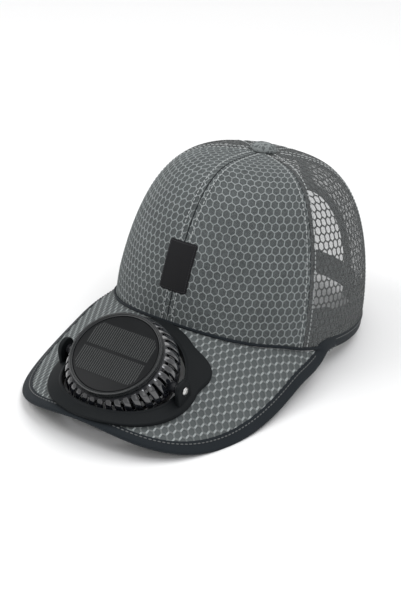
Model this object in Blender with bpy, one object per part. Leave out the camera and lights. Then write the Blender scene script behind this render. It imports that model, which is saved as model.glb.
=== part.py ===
"""Six-panel mesh cap with a solar-powered fan set in its peak.

The hat is drawn in its own frame: the rim lies near z = 0, the front faces -Y and
the wearer's left is +X. An empty then pitches it back until the peak's two front
corners and the back of the rim touch the floor, as the cap rests by itself.
"""

import math

import bmesh
import bpy
from mathutils import Matrix, Vector

MM = 0.001
DEG = math.pi / 180

# Crown: a superelliptic dome over an egg-shaped rim.
CROWN_HALF_WIDTH = 80.5 * MM
CROWN_FRONT = 100.5 * MM
CROWN_BACK = 104.7 * MM
CROWN_HEIGHT = 114.0 * MM
CROWN_LEAN = 3.6 * MM
FRONT_FULLNESS = 0.44
SIDE_FULLNESS = 0.50
BACK_FULLNESS = 0.65
DOME_POWER = 1.09
BACK_EDGE_RISE = 3.0 * MM
SIDE_SEAM = 64.0 * DEG
REAR_SEAM = 122.0 * DEG
CLOTH = 1.2 * MM
GAP = 0.3 * MM
CROWN_EYE = 0.045
COLUMN_STEP = 6.5 * DEG
PANEL_ROWS = 11

# Rear opening, its strap, the bound rim and the sweatband.
ARCH_HALF_WIDTH = 36.0 * MM
ARCH_HEIGHT = 74.0 * MM
ARCH_TAPE = 7.0 * MM
ARCH_STEP = 10.0 * DEG
RIM_TAPE = 9.0 * MM
TAPE_THICK = 2.2 * MM
TAPE_START = 72.5 * DEG
TAPE_RAMP = (70.0 * DEG, 82.0 * DEG)
STRAP_LOW = 10.0 * MM
STRAP_WIDTH = 18.0 * MM
STRAP_LAP = 9.0 * MM
STRAP_THICK = 1.2 * MM
BAND_HEIGHT = 27.0 * MM
BAND_DROP = 1.0 * MM
BAND_THICK = 1.0 * MM
BAND_GAP = 0.4 * MM
BAND_FROM_STRAP = 4.0 * MM

# Button and label.
BUTTON_RADIUS = 9.2 * MM
BUTTON_HEIGHT = 6.2 * MM
BUTTON_STEM_RADIUS = 1.6 * MM
BUTTON_STEM = 3.5 * MM
LABEL_WIDTH = 19.7 * MM
LABEL_LOW = 34.5 * MM
LABEL_HIGH = 66.5 * MM
LABEL_CORNER = 1.6 * MM
LABEL_THICK = 0.9 * MM

# Peak: a sloping slab, arched from side to side, that droops to its corners.
PEAK_ROOT_HEIGHT = 12.3 * MM
PEAK_SLOPE = 24.7 * DEG
PEAK_ARCH_RADIUS = 83.0 * MM
PEAK_HALF_WIDTH = 84.0 * MM
PEAK_REACH = 89.5 * MM
PEAK_THICK = 2.6 * MM
PEAK_BINDING = 6.6 * MM
PEAK_BINDING_THICK = 3.0 * MM
PEAK_CORNER_ANGLE = 76.7 * DEG
PEAK_CORNER_OUT = 2.6 * MM
SLAB_END_ANGLE = 64.0 * DEG
PEAK_WIDEST = 0.615
PEAK_OUTLINE_POWER = 2.5
PEAK_SIDE_EASE = 0.34
PEAK_EASE = 0.27
PEAK_EASE_START = 0.6
PEAK_EASE_SPAN = 16.0 * MM
PEAK_COLUMNS = 40
PEAK_CORNER_STEP = 2.5 * DEG
PEAK_ROWS = 8

# Fan seat: flange on the peak, its collar through the peak, the ring below.
FAN_FROM_CROWN = 49.5 * MM
FLANGE_RADIUS = 48.2 * MM
FLANGE_THICK = 2.3 * MM
FLANGE_ROUND = 0.9 * MM
LOBE_OUT = 6.8 * MM
LOBE_ANGLE = 55.5 * DEG
LOBE_SPREAD = 23.0 * DEG
OPENING_RADIUS = 38.5 * MM
COLLAR_WALL = 1.2 * MM
COLLAR_DEPTH = 5.6 * MM
CLAMP_WIDTH = 6.4 * MM
CLAMP_THICK = 2.0 * MM
EAR_OFFSET = 43.8 * MM
EAR_THICK = 3.0 * MM
EAR_RADIUS = 7.0 * MM
PIVOT_LIFT = 1.5 * MM
FLANGE_SEGMENTS = 60

# Fan head, measured along its own axis from the pivot.
HEAD_TILT = 17.0 * DEG
HEAD_TOP = 18.3 * MM
BEZEL_RADIUS = 30.0 * MM
BEZEL_HEIGHT = 4.3 * MM
BEZEL_LIP = 2.5 * MM
PANEL_RECESS = 2.0 * MM
PANEL_THICK = 1.4 * MM
NECK_RADIUS = 27.0 * MM
NECK_HEIGHT = 2.5 * MM
BEZEL_SEGMENTS = 40
GUARD_RADIUS = 35.5 * MM
GUARD_WALL = 1.6 * MM
RIB_COUNT = 36
RIB_SHARE = 0.7
PAD_ANGLE = 7.0 * DEG
BOSS_RADIUS = 3.2 * MM
BOSS_END_GAP = 0.4 * MM
SCREW_RADIUS = 1.3 * MM
SCREW_HEAD_RADIUS = 2.7 * MM
SCREW_HEAD = 1.2 * MM
SCREW_DEPTH = 4.4 * MM
GRILLE_RADIUS = 33.4 * MM
GRILLE_THICK = 1.6 * MM
GRILLE_SPOKES = 12
GRILLE_RINGS = 4
GRILLE_HUB = 8.0 * MM
GRILLE_BAR = 1.8 * MM
MOTOR_RADIUS = 9.0 * MM
MOTOR_HEIGHT = 10.4 * MM
SHAFT_RADIUS = 1.0 * MM
SHAFT_LENGTH = 7.5 * MM
HUB_RADIUS = 8.0 * MM
HUB_HEIGHT = 8.8 * MM
BLADE_COUNT = 7
BLADE_RADIUS = 29.5 * MM
BLADE_THICK = 1.2 * MM
RUNNING_GAP = 0.5 * MM

# The cloth edges that carry the cap on the floor are pressed flat by this much.
REST_FLAT = 0.4 * MM

# Guard wall from neck to skirt: radius as a share of GUARD_RADIUS, and height
# as a share of HEAD_TOP.
GUARD_SECTION = [
    {"radius": 0.785, "height": 0.700},
    {"radius": 0.825, "height": 0.685},
    {"radius": 0.925, "height": 0.560},
    {"radius": 0.985, "height": 0.280},
    {"radius": 1.000, "height": -0.060},
    {"radius": 0.945, "height": -0.520},
]

# Blade from hub to tip: radius as a share of the tip's, chord as a share of the
# hub's height, and the angle that the blade is set at.
BLADE_SECTION = [
    {"radius": 0.235, "chord": 1.00, "pitch": 46.0},
    {"radius": 0.50, "chord": 1.20, "pitch": 38.0},
    {"radius": 0.78, "chord": 1.38, "pitch": 31.0},
    {"radius": 1.00, "chord": 1.45, "pitch": 27.0},
]

# Name: red, green, blue, roughness, metallic.
FINISHES = {
    "front_cloth": (0.155, 0.165, 0.165, 0.85, 0.0),
    "mesh_cloth": (0.13, 0.135, 0.135, 0.8, 0.0),
    "tape_cloth": (0.02, 0.026, 0.032, 0.8, 0.0),
    "label_cloth": (0.008, 0.008, 0.009, 0.7, 0.0),
    "matte_plastic": (0.021, 0.025, 0.028, 0.55, 0.0),
    "gloss_plastic": (0.012, 0.013, 0.016, 0.2, 0.0),
    "cell_face": (0.012, 0.014, 0.016, 0.3, 0.0),
    "screw_steel": (0.62, 0.61, 0.6, 0.25, 1.0),
}


def lerp(start, end, share):
    return start + (end - start) * share


def smooth(value):
    """Rise smoothly from 0 to 1 as value goes from 0 to 1."""
    value = min(max(value, 0.0), 1.0)
    return value * value * (3 - 2 * value)


def remove_all_objects():
    for item in list(bpy.data.objects):
        bpy.data.objects.remove(item, do_unlink=True)


def material(name):
    """Return the named finish, made once."""
    found = bpy.data.materials.get(name)
    if found:
        return found
    red, green, blue, roughness, metallic = FINISHES[name]
    made = bpy.data.materials.new(name)
    made.use_nodes = True
    shader = made.node_tree.nodes["Principled BSDF"]
    shader.inputs["Base Color"].default_value = (red, green, blue, 1)
    shader.inputs["Roughness"].default_value = roughness
    shader.inputs["Metallic"].default_value = metallic
    return made


def add_object(name, verts, faces, finish, parent):
    """Make one mesh object whose faces point outwards."""
    mesh = bpy.data.meshes.new(name)
    mesh.from_pydata([tuple(v) for v in verts], [], faces)
    work = bmesh.new()
    work.from_mesh(mesh)
    bmesh.ops.recalc_face_normals(work, faces=work.faces)
    work.to_mesh(mesh)
    work.free()
    mesh.shade_smooth()
    mesh.set_sharp_from_angle(angle=32 * DEG)
    item = bpy.data.objects.new(name, mesh)
    bpy.context.scene.collection.objects.link(item)
    if finish:
        mesh.materials.append(material(finish))
    item.parent = parent
    return item


def add_empty(name, location, turn_x, parent=None):
    item = bpy.data.objects.new(name, None)
    bpy.context.scene.collection.objects.link(item)
    item.location = location
    item.rotation_euler = (turn_x, 0, 0)
    item.parent = parent
    return item


def as_tool(item):
    """Keep an object only as a guide for a Boolean."""
    item.hide_render = True
    item.display_type = "WIRE"
    return item


def boolean(target, tool, operation):
    step = target.modifiers.new(operation.lower(), "BOOLEAN")
    step.object = tool
    step.operation = operation
    step.solver = "EXACT"


def slab(name, rows_out, rows_in, finish, parent):
    """Closed plate between two grids of points with the same layout."""
    row_count = len(rows_out)
    width = len(rows_out[0])
    verts = [p for row in rows_out for p in row] + [p for row in rows_in for p in row]
    back = row_count * width
    faces = []
    for j in range(row_count - 1):
        for i in range(width - 1):
            a = j * width + i
            quad = (a, a + 1, a + width + 1, a + width)
            faces.append(quad)
            faces.append(tuple(back + k for k in reversed(quad)))
    rim = [i for i in range(width)]
    rim += [j * width + width - 1 for j in range(1, row_count)]
    rim += [(row_count - 1) * width + i for i in reversed(range(width - 1))]
    rim += [j * width for j in reversed(range(1, row_count - 1))]
    for a, b in zip(rim, rim[1:] + rim[:1]):
        faces.append((b, a, back + a, back + b))
    return add_object(name, verts, faces, finish, parent)


def sweep(name, sections, finish, parent, closed):
    """Closed solid through a row of sections, each one closed loop of points."""
    size = len(sections[0])
    count = len(sections)
    verts = [p for section in sections for p in section]
    faces = []
    for i in range(count if closed else count - 1):
        here = i * size
        there = ((i + 1) % count) * size
        for k in range(size):
            m = (k + 1) % size
            faces.append((here + k, here + m, there + m, there + k))
    if not closed:
        faces.append(tuple(reversed(range(size))))
        faces.append(tuple((count - 1) * size + k for k in range(size)))
    return add_object(name, verts, faces, finish, parent)


def turned(name, profile, segments, finish, parent):
    """Solid of revolution about Z; the profile starts and ends on the axis."""
    verts = [(0, 0, profile[0][1]), (0, 0, profile[-1][1])]
    inner = profile[1:-1]
    for i in range(segments):
        angle = 2 * math.pi * i / segments
        verts += [(r * math.cos(angle), r * math.sin(angle), h) for r, h in inner]
    size = len(inner)
    faces = []
    for i in range(segments):
        here = 2 + i * size
        there = 2 + ((i + 1) % segments) * size
        faces.append((0, there, here))
        faces.append((1, here + size - 1, there + size - 1))
        for k in range(size - 1):
            faces.append((here + k, there + k, there + k + 1, here + k + 1))
    return add_object(name, verts, faces, finish, parent)


def pierced_wall(name, outer, inner, solid, finish, parent, closed_centre=False):
    """Wall that goes all the way round, with cells left open where solid is false.

    outer and inner hold a ring of columns; solid says which cell between two
    columns and two rows is there.
    """
    columns = len(outer)
    rows = len(outer[0])
    verts = []
    index = {}
    faces = []

    def vertex(side, i, j):
        key = (side, i % columns, j)
        if key not in index:
            index[key] = len(verts)
            verts.append((outer if side == 0 else inner)[i % columns][j])
        return index[key]

    def present(i, j):
        return 0 <= j < rows - 1 and solid(i % columns, j)

    for i in range(columns):
        for j in range(rows - 1):
            if not present(i, j):
                continue
            loop = [(i, j), (i + 1, j), (i + 1, j + 1), (i, j + 1)]
            faces.append([vertex(0, *p) for p in loop])
            faces.append([vertex(1, *p) for p in reversed(loop)])
            sides = [(0, (i, j - 1)), (1, (i + 1, j)), (2, (i, j + 1)), (3, (i - 1, j))]
            for edge, neighbour in sides:
                if present(*neighbour) or (closed_centre and neighbour[1] < 0):
                    continue
                a = loop[edge]
                b = loop[(edge + 1) % 4]
                faces.append([vertex(0, *b), vertex(0, *a), vertex(1, *a), vertex(1, *b)])
    if closed_centre:
        faces.append([vertex(0, i, 0) for i in range(columns)])
        faces.append([vertex(1, i, 0) for i in reversed(range(columns))])
    return add_object(name, verts, faces, finish, parent)


# The crown's surface

def crown_shrink(theta, up):
    """Share of the rim's width that is left at this share of the height."""
    side = math.sin(theta) ** 2
    end = FRONT_FULLNESS if math.cos(theta) >= 0 else BACK_FULLNESS
    power = end * (1 - side) + SIDE_FULLNESS * side
    return (1 - min(up, 1.0) ** 2) ** (power / 2)


def crown_at(theta, up):
    """Point of the crown's middle surface; theta runs from the front to +X."""
    shrink = crown_shrink(theta, up)
    reach = CROWN_FRONT if math.cos(theta) >= 0 else CROWN_BACK
    x = CROWN_HALF_WIDTH * shrink * math.sin(theta)
    y = -reach * shrink * math.cos(theta) - CROWN_LEAN * up ** 2
    return Vector((x, y, CROWN_HEIGHT * up ** DOME_POWER))


def up_at_height(z):
    return (max(z, 0.0) / CROWN_HEIGHT) ** (1 / DOME_POWER)


def up_at_shrink(theta, shrink):
    """Share of the height at which the crown has shrunk to this share."""
    low, high = 0.0, 1.0
    for _ in range(40):
        middle = (low + high) / 2
        if crown_shrink(theta, middle) > shrink:
            low = middle
        else:
            high = middle
    return low


def crown_off(theta, up, out):
    """Point at a distance outwards from the crown's middle surface."""
    step = 0.004
    low = max(up - step, 0.0)
    high = min(up + step, 0.9999)
    rise = crown_at(theta, high) - crown_at(theta, low)
    round_ = crown_at(theta + step, up) - crown_at(theta - step, up)
    return crown_at(theta, up) + round_.cross(rise).normalized() * out


def theta_at_x(x, up, rear):
    """Angle on the right half where the crown is x wide at this height."""
    theta = math.pi if rear else 0.0
    for _ in range(12):
        part = math.asin(min(x / (CROWN_HALF_WIDTH * crown_shrink(theta, up)), 1.0))
        theta = math.pi - part if rear else part
    return theta


# The peak's surface

def peak_height(x, y):
    """Height of the peak's middle surface over a point of its plan."""
    rise = math.tan(PEAK_SLOPE) * (y + CROWN_FRONT)
    past = y + PEAK_EASE_START * CROWN_FRONT
    half = PEAK_EASE_SPAN / 2
    eased = 0.0
    if past > half:
        eased = past
    elif past > -half:
        eased = (past + half) ** 2 / (2 * PEAK_EASE_SPAN)
    return PEAK_ROOT_HEIGHT + rise - PEAK_EASE * eased - x * x / (2 * PEAK_ARCH_RADIUS)


def peak_off(x, y, out):
    """Point at a distance above the peak's middle surface."""
    step = 0.5 * MM
    dx = (peak_height(x + step, y) - peak_height(x - step, y)) / (2 * step)
    dy = (peak_height(x, y + step) - peak_height(x, y - step)) / (2 * step)
    normal = Vector((-dx, -dy, 1)).normalized()
    return Vector((x, y, peak_height(x, y))) + normal * out


def peak_top(x, y, thick):
    """Height of the upper face of a peak this thick, straight above a point."""
    step = 0.5 * MM
    dx = (peak_height(x + step, y) - peak_height(x - step, y)) / (2 * step)
    dy = (peak_height(x, y + step) - peak_height(x, y - step)) / (2 * step)
    return peak_height(x, y) + thick / 2 * math.sqrt(1 + dx * dx + dy * dy)


def peak_corner():
    """Plan of the point where the peak's outer edge meets the crown's side."""
    rim = crown_at(PEAK_CORNER_ANGLE, 0.0)
    return Vector((rim.x + PEAK_CORNER_OUT, rim.y))


def peak_outline():
    """Plan of the peak's outer edge, right half, from its root corner forwards."""
    corner = peak_corner()
    widest_y = -PEAK_WIDEST * CROWN_FRONT
    front_y = -(CROWN_FRONT + PEAK_REACH)
    points = []
    for k in range(12):
        share = k / 12
        ease = 1 - (1 - share) ** (1 / PEAK_SIDE_EASE)
        points.append(Vector((lerp(corner.x, PEAK_HALF_WIDTH, ease), lerp(corner.y, widest_y, share))))
    power = 2 / PEAK_OUTLINE_POWER
    for k in range(61):
        angle = k / 60 * math.pi / 2
        x = PEAK_HALF_WIDTH * max(math.cos(angle), 0.0) ** power
        y = widest_y + (front_y - widest_y) * math.sin(angle) ** power
        points.append(Vector((x, y)))
    points[-1].x = 0.0
    return points


def outside_crown(point):
    reach = (point.x / CROWN_HALF_WIDTH) ** 2 + (point.y / CROWN_FRONT) ** 2
    return point.y < 0 and reach >= 1


def inset_outline(distance):
    """The peak's outer edge moved inwards, ending where it meets the crown."""
    line = peak_outline()
    mirrored = line + [Vector((-p.x, p.y)) for p in reversed(line[:-1])]
    moved = []
    for k in range(len(line)):
        before = mirrored[max(k - 1, 0)]
        along = (mirrored[k + 1] - before).normalized()
        moved.append(line[k] + Vector((along.y, -along.x)) * distance)
    first = next(k for k, p in enumerate(moved) if outside_crown(p))
    if first:
        low, high = moved[first - 1], moved[first]
        for _ in range(30):
            middle = (low + high) / 2
            if outside_crown(middle):
                high = middle
            else:
                low = middle
        moved = [high] + moved[first:]
    return moved


def even_points(line, count):
    """The line again, with points at even steps of its length."""
    lengths = [0.0]
    for a, b in zip(line, line[1:]):
        lengths.append(lengths[-1] + (b - a).length)
    points = []
    k = 0
    for i in range(count + 1):
        goal = lengths[-1] * i / count
        while k < len(line) - 2 and lengths[k + 1] < goal:
            k += 1
        span = lengths[k + 1] - lengths[k]
        points.append(line[k].lerp(line[k + 1], (goal - lengths[k]) / span))
    return points


def both_sides(points):
    """Right half, from corner to centre, and its mirror image after it."""
    return points + [Vector((-p.x, p.y)) for p in reversed(points[:-1])]


# Levels that the crown's lower pieces share

def rim_low(theta):
    """Height of the crown's lower edge: it stands on the peak, then runs free."""
    angle = abs(theta)
    free = BACK_EDGE_RISE * math.cos(angle) ** 2 if math.cos(angle) < 0 else 0.0
    on_peak = min(angle, PEAK_CORNER_ANGLE)
    rim = crown_at(on_peak, 0.0)
    bound = (on_peak - SLAB_END_ANGLE) / (TAPE_RAMP[0] - SLAB_END_ANGLE)
    thick = lerp(PEAK_THICK, PEAK_BINDING_THICK, min(max(bound, 0.0), 1.0))
    seat = peak_top(rim.x, rim.y, thick) + GAP
    share = smooth((angle - PEAK_CORNER_ANGLE) / (TAPE_RAMP[1] - PEAK_CORNER_ANGLE))
    return lerp(seat, free, share)


def tape_top(theta):
    """Height of the rim tape's upper edge."""
    ramp = (abs(theta) - TAPE_RAMP[0]) / (TAPE_RAMP[1] - TAPE_RAMP[0])
    return rim_low(theta) + RIM_TAPE * min(max(ramp, 0.0), 1.0)


def panel_low(theta):
    """Height of a crown panel's lower edge."""
    return tape_top(theta) + (GAP if abs(theta) >= TAPE_START - 0.01 else 0.0)


def even_angles(start, end):
    count = max(round((end - start) / COLUMN_STEP), 1)
    return [lerp(start, end, k / count) for k in range(count + 1)]


def ramp_angles():
    """Angles at which both the rim tape and the side panels have a column."""
    return [TAPE_START, lerp(TAPE_START, TAPE_RAMP[1], 0.5), TAPE_RAMP[1]]


def seam_shift(theta, up):
    """Half of the gap between two panels, as an angle."""
    across = crown_at(theta + 0.01, up) - crown_at(theta - 0.01, up)
    return GAP / 2 / (across.length / 0.02)


# Cloth pieces

def panel_point(theta, up, out, side):
    point = crown_off(theta, up, out)
    return Vector((point.x * side, point.y, point.z))


def panel(name, columns, side, finish, parent):
    """A crown panel between two seams; side is 1 for the wearer's left."""
    grids = []
    for out in (CLOTH / 2, -CLOTH / 2):
        rows = []
        for j in range(PANEL_ROWS + 1):
            row = []
            for i, theta in enumerate(columns):
                low = math.acos(crown_shrink(theta, up_at_height(panel_low(theta))))
                turn = lerp(low, math.acos(CROWN_EYE), j / PANEL_ROWS)
                up = up_at_shrink(theta, math.cos(turn)) if j else up_at_height(panel_low(theta))
                shift = 0.0
                if i == 0:
                    shift = seam_shift(theta, up)
                if i == len(columns) - 1:
                    shift = -seam_shift(theta, up)
                row.append(panel_point(theta + shift, up, out, side))
            rows.append(row)
        grids.append(rows)
    slab(name, grids[0], grids[1], finish, parent)


def arch_turns():
    """Steps round the rear opening, from its crown down to the rim tape."""
    count = round(90 * DEG / ARCH_STEP)
    return [k * ARCH_STEP for k in range(count)]


def arch_point(half_width, height, turn):
    """Angle and height share of a point on an arch round the rear opening."""
    up = up_at_height(height * math.cos(turn))
    return theta_at_x(half_width * math.sin(turn), up, True), up


def arch_corner(half_width, height, level):
    """Point where an arch comes down to a level that depends on the angle."""
    theta = math.pi
    up = 0.0
    for _ in range(12):
        z = level(theta)
        up = up_at_height(z)
        x = half_width * math.sqrt(max(1 - (z / height) ** 2, 0.0))
        theta = theta_at_x(x, up, True)
    return theta, up


def rear_panel(name, side, finish, parent):
    """A rear panel, cut out for its half of the rear opening."""
    half_width = ARCH_HALF_WIDTH + ARCH_TAPE + GAP
    height = ARCH_HEIGHT + ARCH_TAPE + GAP
    steps = 9
    above = 6
    top_turn = math.acos(CROWN_EYE)
    ends = []
    for k in range(above):
        ends.append((None, k / above))
    arch = [arch_point(half_width, height, t) for t in arch_turns()]
    arch.append(arch_corner(half_width, height, panel_low))
    grids = []
    for out in (CLOTH / 2, -CLOTH / 2):
        rows = []
        for _, share in ends:
            row = []
            for i in range(steps + 1):
                theta = lerp(REAR_SEAM, math.pi, i / steps)
                low = math.acos(crown_shrink(theta, arch[0][1]))
                up = up_at_shrink(theta, math.cos(lerp(top_turn, low, share)))
                shift = 0.0
                if i == 0:
                    shift = seam_shift(theta, up)
                if i == steps:
                    shift = -seam_shift(theta, up)
                row.append(panel_point(theta + shift, up, out, side))
            rows.append(row)
        for k, (end, up) in enumerate(arch):
            row = []
            for i in range(steps + 1):
                theta = lerp(REAR_SEAM, end, i / steps)
                level = up
                if k == len(arch) - 1:
                    level = up_at_height(panel_low(theta))
                if i == 0:
                    theta += seam_shift(theta, level)
                if k == 0 and i == steps:
                    theta -= seam_shift(theta, level)
                row.append(panel_point(theta, level, out, side))
            rows.append(row)
        grids.append(rows)
    slab(name, grids[0], grids[1], finish, parent)


def tape_section(low, high, thick, side):
    """Closed loop across a strip of tape, with its free edge rounded."""
    points = []
    middle = (lerp(low[0], high[0], 0.12), lerp(low[1], high[1], 0.12))
    for (theta, up), out in ((low, 0.0), (middle, thick / 2), (high, thick / 2),
                             (high, -thick / 2), (middle, -thick / 2)):
        points.append(panel_point(theta, up, out, side))
    return points


def rim_binding(finish, parent):
    """Tape along the free rim and over the rear opening, in one piece."""
    outer_width = ARCH_HALF_WIDTH + ARCH_TAPE
    outer_height = ARCH_HEIGHT + ARCH_TAPE
    corner_low = arch_corner(ARCH_HALF_WIDTH, ARCH_HEIGHT, rim_low)
    corner_high = arch_corner(outer_width, outer_height, tape_top)
    last = corner_high[0] - 2.5 * DEG
    pairs = []
    for theta in ramp_angles()[:-1] + even_angles(TAPE_RAMP[1], last):
        pairs.append(((theta, up_at_height(rim_low(theta))), (theta, up_at_height(tape_top(theta)))))
    pairs.append((corner_low, corner_high))
    for turn in reversed(arch_turns()):
        low = arch_point(ARCH_HALF_WIDTH, ARCH_HEIGHT, turn)
        pairs.append((low, arch_point(outer_width, outer_height, turn)))
    sections = [tape_section(low, high, TAPE_THICK, 1) for low, high in pairs]
    sections += [tape_section(low, high, TAPE_THICK, -1) for low, high in reversed(pairs[:-1])]
    return sweep("rim_binding", sections, finish, parent, closed=False)


def crown_strip(name, angles, low, high, out, thick, finish, parent):
    """Flat strip that follows the crown, between two levels."""
    grids = []
    for lift in (out + thick / 2, out - thick / 2):
        rows = []
        for share in (0.0, 0.5, 1.0):
            row = []
            for theta in angles:
                up = up_at_height(lerp(low(theta), high(theta), share))
                row.append(panel_point(abs(theta), up, lift, 1 if theta >= 0 else -1))
            rows.append(row)
        grids.append(rows)
    return slab(name, grids[0], grids[1], finish, parent)


def rear_strap(finish, parent):
    """Strap across the rear opening, just inside its bound edge."""
    up = up_at_height(STRAP_LOW)
    end = theta_at_x(ARCH_HALF_WIDTH + ARCH_TAPE + STRAP_LAP, up, True)
    count = 18
    grids = []
    middle = -(TAPE_THICK / 2 + GAP + STRAP_THICK / 2)
    for out in (middle + STRAP_THICK / 2, middle - STRAP_THICK / 2):
        rows = []
        for share in (0.0, 0.5, 1.0):
            level = up_at_height(STRAP_LOW + STRAP_WIDTH * share)
            row = []
            for i in range(count + 1):
                theta = lerp(end, 2 * math.pi - end, i / count)
                row.append(crown_off(theta, level, out))
            rows.append(row)
        grids.append(rows)
    return slab("rear_strap", grids[0], grids[1], finish, parent)


def sweatband(finish, parent):
    """Band inside the rim, from one side of the rear opening to the other."""
    up = up_at_height(STRAP_LOW)
    reach = ARCH_HALF_WIDTH + ARCH_TAPE + STRAP_LAP + BAND_FROM_STRAP
    end = theta_at_x(reach, up, True)
    count = 2 * round(end / COLUMN_STEP)
    angles = [lerp(-end, end, i / count) for i in range(count + 1)]
    out = -(TAPE_THICK / 2 + BAND_GAP + BAND_THICK / 2)
    return crown_strip("sweatband", angles, lambda a: rim_low(a) - BAND_DROP,
                       lambda a: rim_low(a) + BAND_HEIGHT, out, BAND_THICK, finish, parent)


def top_button(finish, parent):
    """Cloth-covered button, with the stem that holds it in the crown's eye."""
    top = crown_at(0.0, 1.0)
    base = top.z + CLOTH / 2 + GAP
    profile = [(0, base - BUTTON_STEM), (BUTTON_STEM_RADIUS, base - BUTTON_STEM),
               (BUTTON_STEM_RADIUS, base), (BUTTON_RADIUS * 0.94, base)]
    for k in range(7):
        angle = lerp(-0.1, 0.5, k / 6) * math.pi
        profile.append((BUTTON_RADIUS * math.cos(max(angle, 0)) ** 0.8,
                        base + BUTTON_HEIGHT * (0.22 + 0.78 * math.sin(max(angle, 0)))))
    profile = profile[:4] + profile[5:-1] + [(0, base + BUTTON_HEIGHT)]
    item = turned("top_button", profile, 28, finish, parent)
    item.location = (0, top.y, 0)
    return item


def front_label(finish, parent):
    """Sewn patch over the front seam, with rounded corners."""
    lift = CLOTH / 2 + GAP + LABEL_THICK / 2
    count = 6
    levels = []
    for k in range(4):
        angle = k / 3 * math.pi / 2
        levels.append((LABEL_CORNER * (1 - math.sin(angle)), LABEL_CORNER * (1 - math.cos(angle))))
    height = LABEL_HIGH - LABEL_LOW
    rows = [(LABEL_LOW + drop, cut) for cut, drop in levels]
    rows += [(LABEL_LOW + height * share, 0.0) for share in (0.35, 0.65)]
    rows += [(LABEL_HIGH - drop, cut) for cut, drop in reversed(levels)]
    grids = []
    for out in (lift + LABEL_THICK / 2, lift - LABEL_THICK / 2):
        grid = []
        for z, cut in rows:
            up = up_at_height(z)
            row = []
            for i in range(count + 1):
                x = (LABEL_WIDTH / 2 - cut) * lerp(-1, 1, i / count)
                theta = theta_at_x(abs(x), up, False)
                row.append(panel_point(theta, up, out, 1 if x >= 0 else -1))
            grid.append(row)
        grids.append(grid)
    return slab("front_label", grids[0], grids[1], finish, parent)


def peak_slab(finish, parent):
    """The stiff peak, from the crown's edge to its binding, with the fan's hole."""
    outer = both_sides(even_points(inset_outline(PEAK_BINDING + GAP), PEAK_COLUMNS // 2))
    end = math.atan2(outer[0].x / CROWN_HALF_WIDTH, -outer[0].y / CROWN_FRONT) - PEAK_CORNER_STEP
    grids = []
    for out in (PEAK_THICK / 2, -PEAK_THICK / 2):
        rows = []
        for j in range(PEAK_ROWS + 1):
            row = []
            for i, edge in enumerate(outer):
                root = crown_at(lerp(end, -end, i / PEAK_COLUMNS), 0.0)
                x = lerp(root.x, edge.x, j / PEAK_ROWS)
                y = lerp(root.y, edge.y, j / PEAK_ROWS)
                row.append(peak_off(x, y, out))
            rows.append(row)
        grids.append(rows)
    return slab("peak", grids[0], grids[1], finish, parent)


def peak_binding(finish, parent):
    """Tape folded round the peak's outer edge."""
    count = PEAK_COLUMNS // 2 + 6
    outer = both_sides(even_points(peak_outline(), count))
    inner = both_sides(even_points(inset_outline(PEAK_BINDING), count))
    thick = PEAK_BINDING_THICK
    sections = []
    for edge, back in zip(outer, inner):
        section = [peak_off(edge.x, edge.y, 0.0)]
        for share, out in ((0.16, 0.5), (1.0, 0.5), (1.0, -0.5), (0.16, -0.5)):
            point = edge.lerp(back, share)
            section.append(peak_off(point.x, point.y, out * thick))
        sections.append(section)
    return sweep("peak_binding", sections, finish, parent, closed=False)


# Fan seat, drawn in the peak's own plane: across, down the slope, off the slope

def seat_origin():
    y = -CROWN_FRONT - FAN_FROM_CROWN * math.cos(PEAK_SLOPE)
    return Vector((0, y, PEAK_ROOT_HEIGHT - FAN_FROM_CROWN * math.sin(PEAK_SLOPE)))


def arch_drop(x):
    """How far the peak's arch falls away from its ridge, square to the slope."""
    return math.cos(PEAK_SLOPE) * x * x / (2 * PEAK_ARCH_RADIUS)


def seat_point(radius, angle, lift):
    """Point near the peak: angle runs from the crown's side towards +X."""
    x = radius * math.sin(angle)
    steep = x * math.cos(PEAK_SLOPE) / PEAK_ARCH_RADIUS
    n = lift * math.sqrt(1 + steep * steep) - arch_drop(x)
    return Vector((x, radius * math.cos(angle), n))


def flange_reach(angle):
    """Radius of the flange's edge, with its two lobes towards the crown."""
    from_rear = abs(math.atan2(math.sin(angle), math.cos(angle)))
    off = (from_rear - LOBE_ANGLE) / LOBE_SPREAD
    if abs(off) >= 1:
        return FLANGE_RADIUS
    return FLANGE_RADIUS + LOBE_OUT * math.cos(off * math.pi / 2) ** 2


def fan_plate(finish, seat):
    """Flange with its collar, two pivot ears and their bores."""
    under = PEAK_BINDING_THICK / 2 + GAP
    top = under + FLANGE_THICK
    outer_wall = OPENING_RADIUS + COLLAR_WALL
    sections = []
    for i in range(FLANGE_SEGMENTS):
        angle = 2 * math.pi * i / FLANGE_SEGMENTS
        reach = flange_reach(angle)
        profile = [(OPENING_RADIUS, top - COLLAR_DEPTH - under), (OPENING_RADIUS, top - FLANGE_ROUND),
                   (OPENING_RADIUS + FLANGE_ROUND, top), (reach - 1.6 * FLANGE_ROUND, top),
                   (reach - 0.3 * FLANGE_ROUND, top - 0.5 * FLANGE_ROUND),
                   (reach, lerp(under, top, 0.4)), (reach - 0.4 * FLANGE_ROUND, under),
                   (outer_wall, under), (outer_wall, top - COLLAR_DEPTH - under)]
        sections.append([seat_point(r, angle, lift) for r, lift in profile])
    plate = sweep("fan_plate", sections, finish, seat, closed=True)
    for side in (-1, 1):
        boolean(plate, pivot_ear(side, under + FLANGE_THICK / 2, seat), "UNION")
    boolean(plate, pivot_bore(seat), "DIFFERENCE")
    return plate


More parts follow.
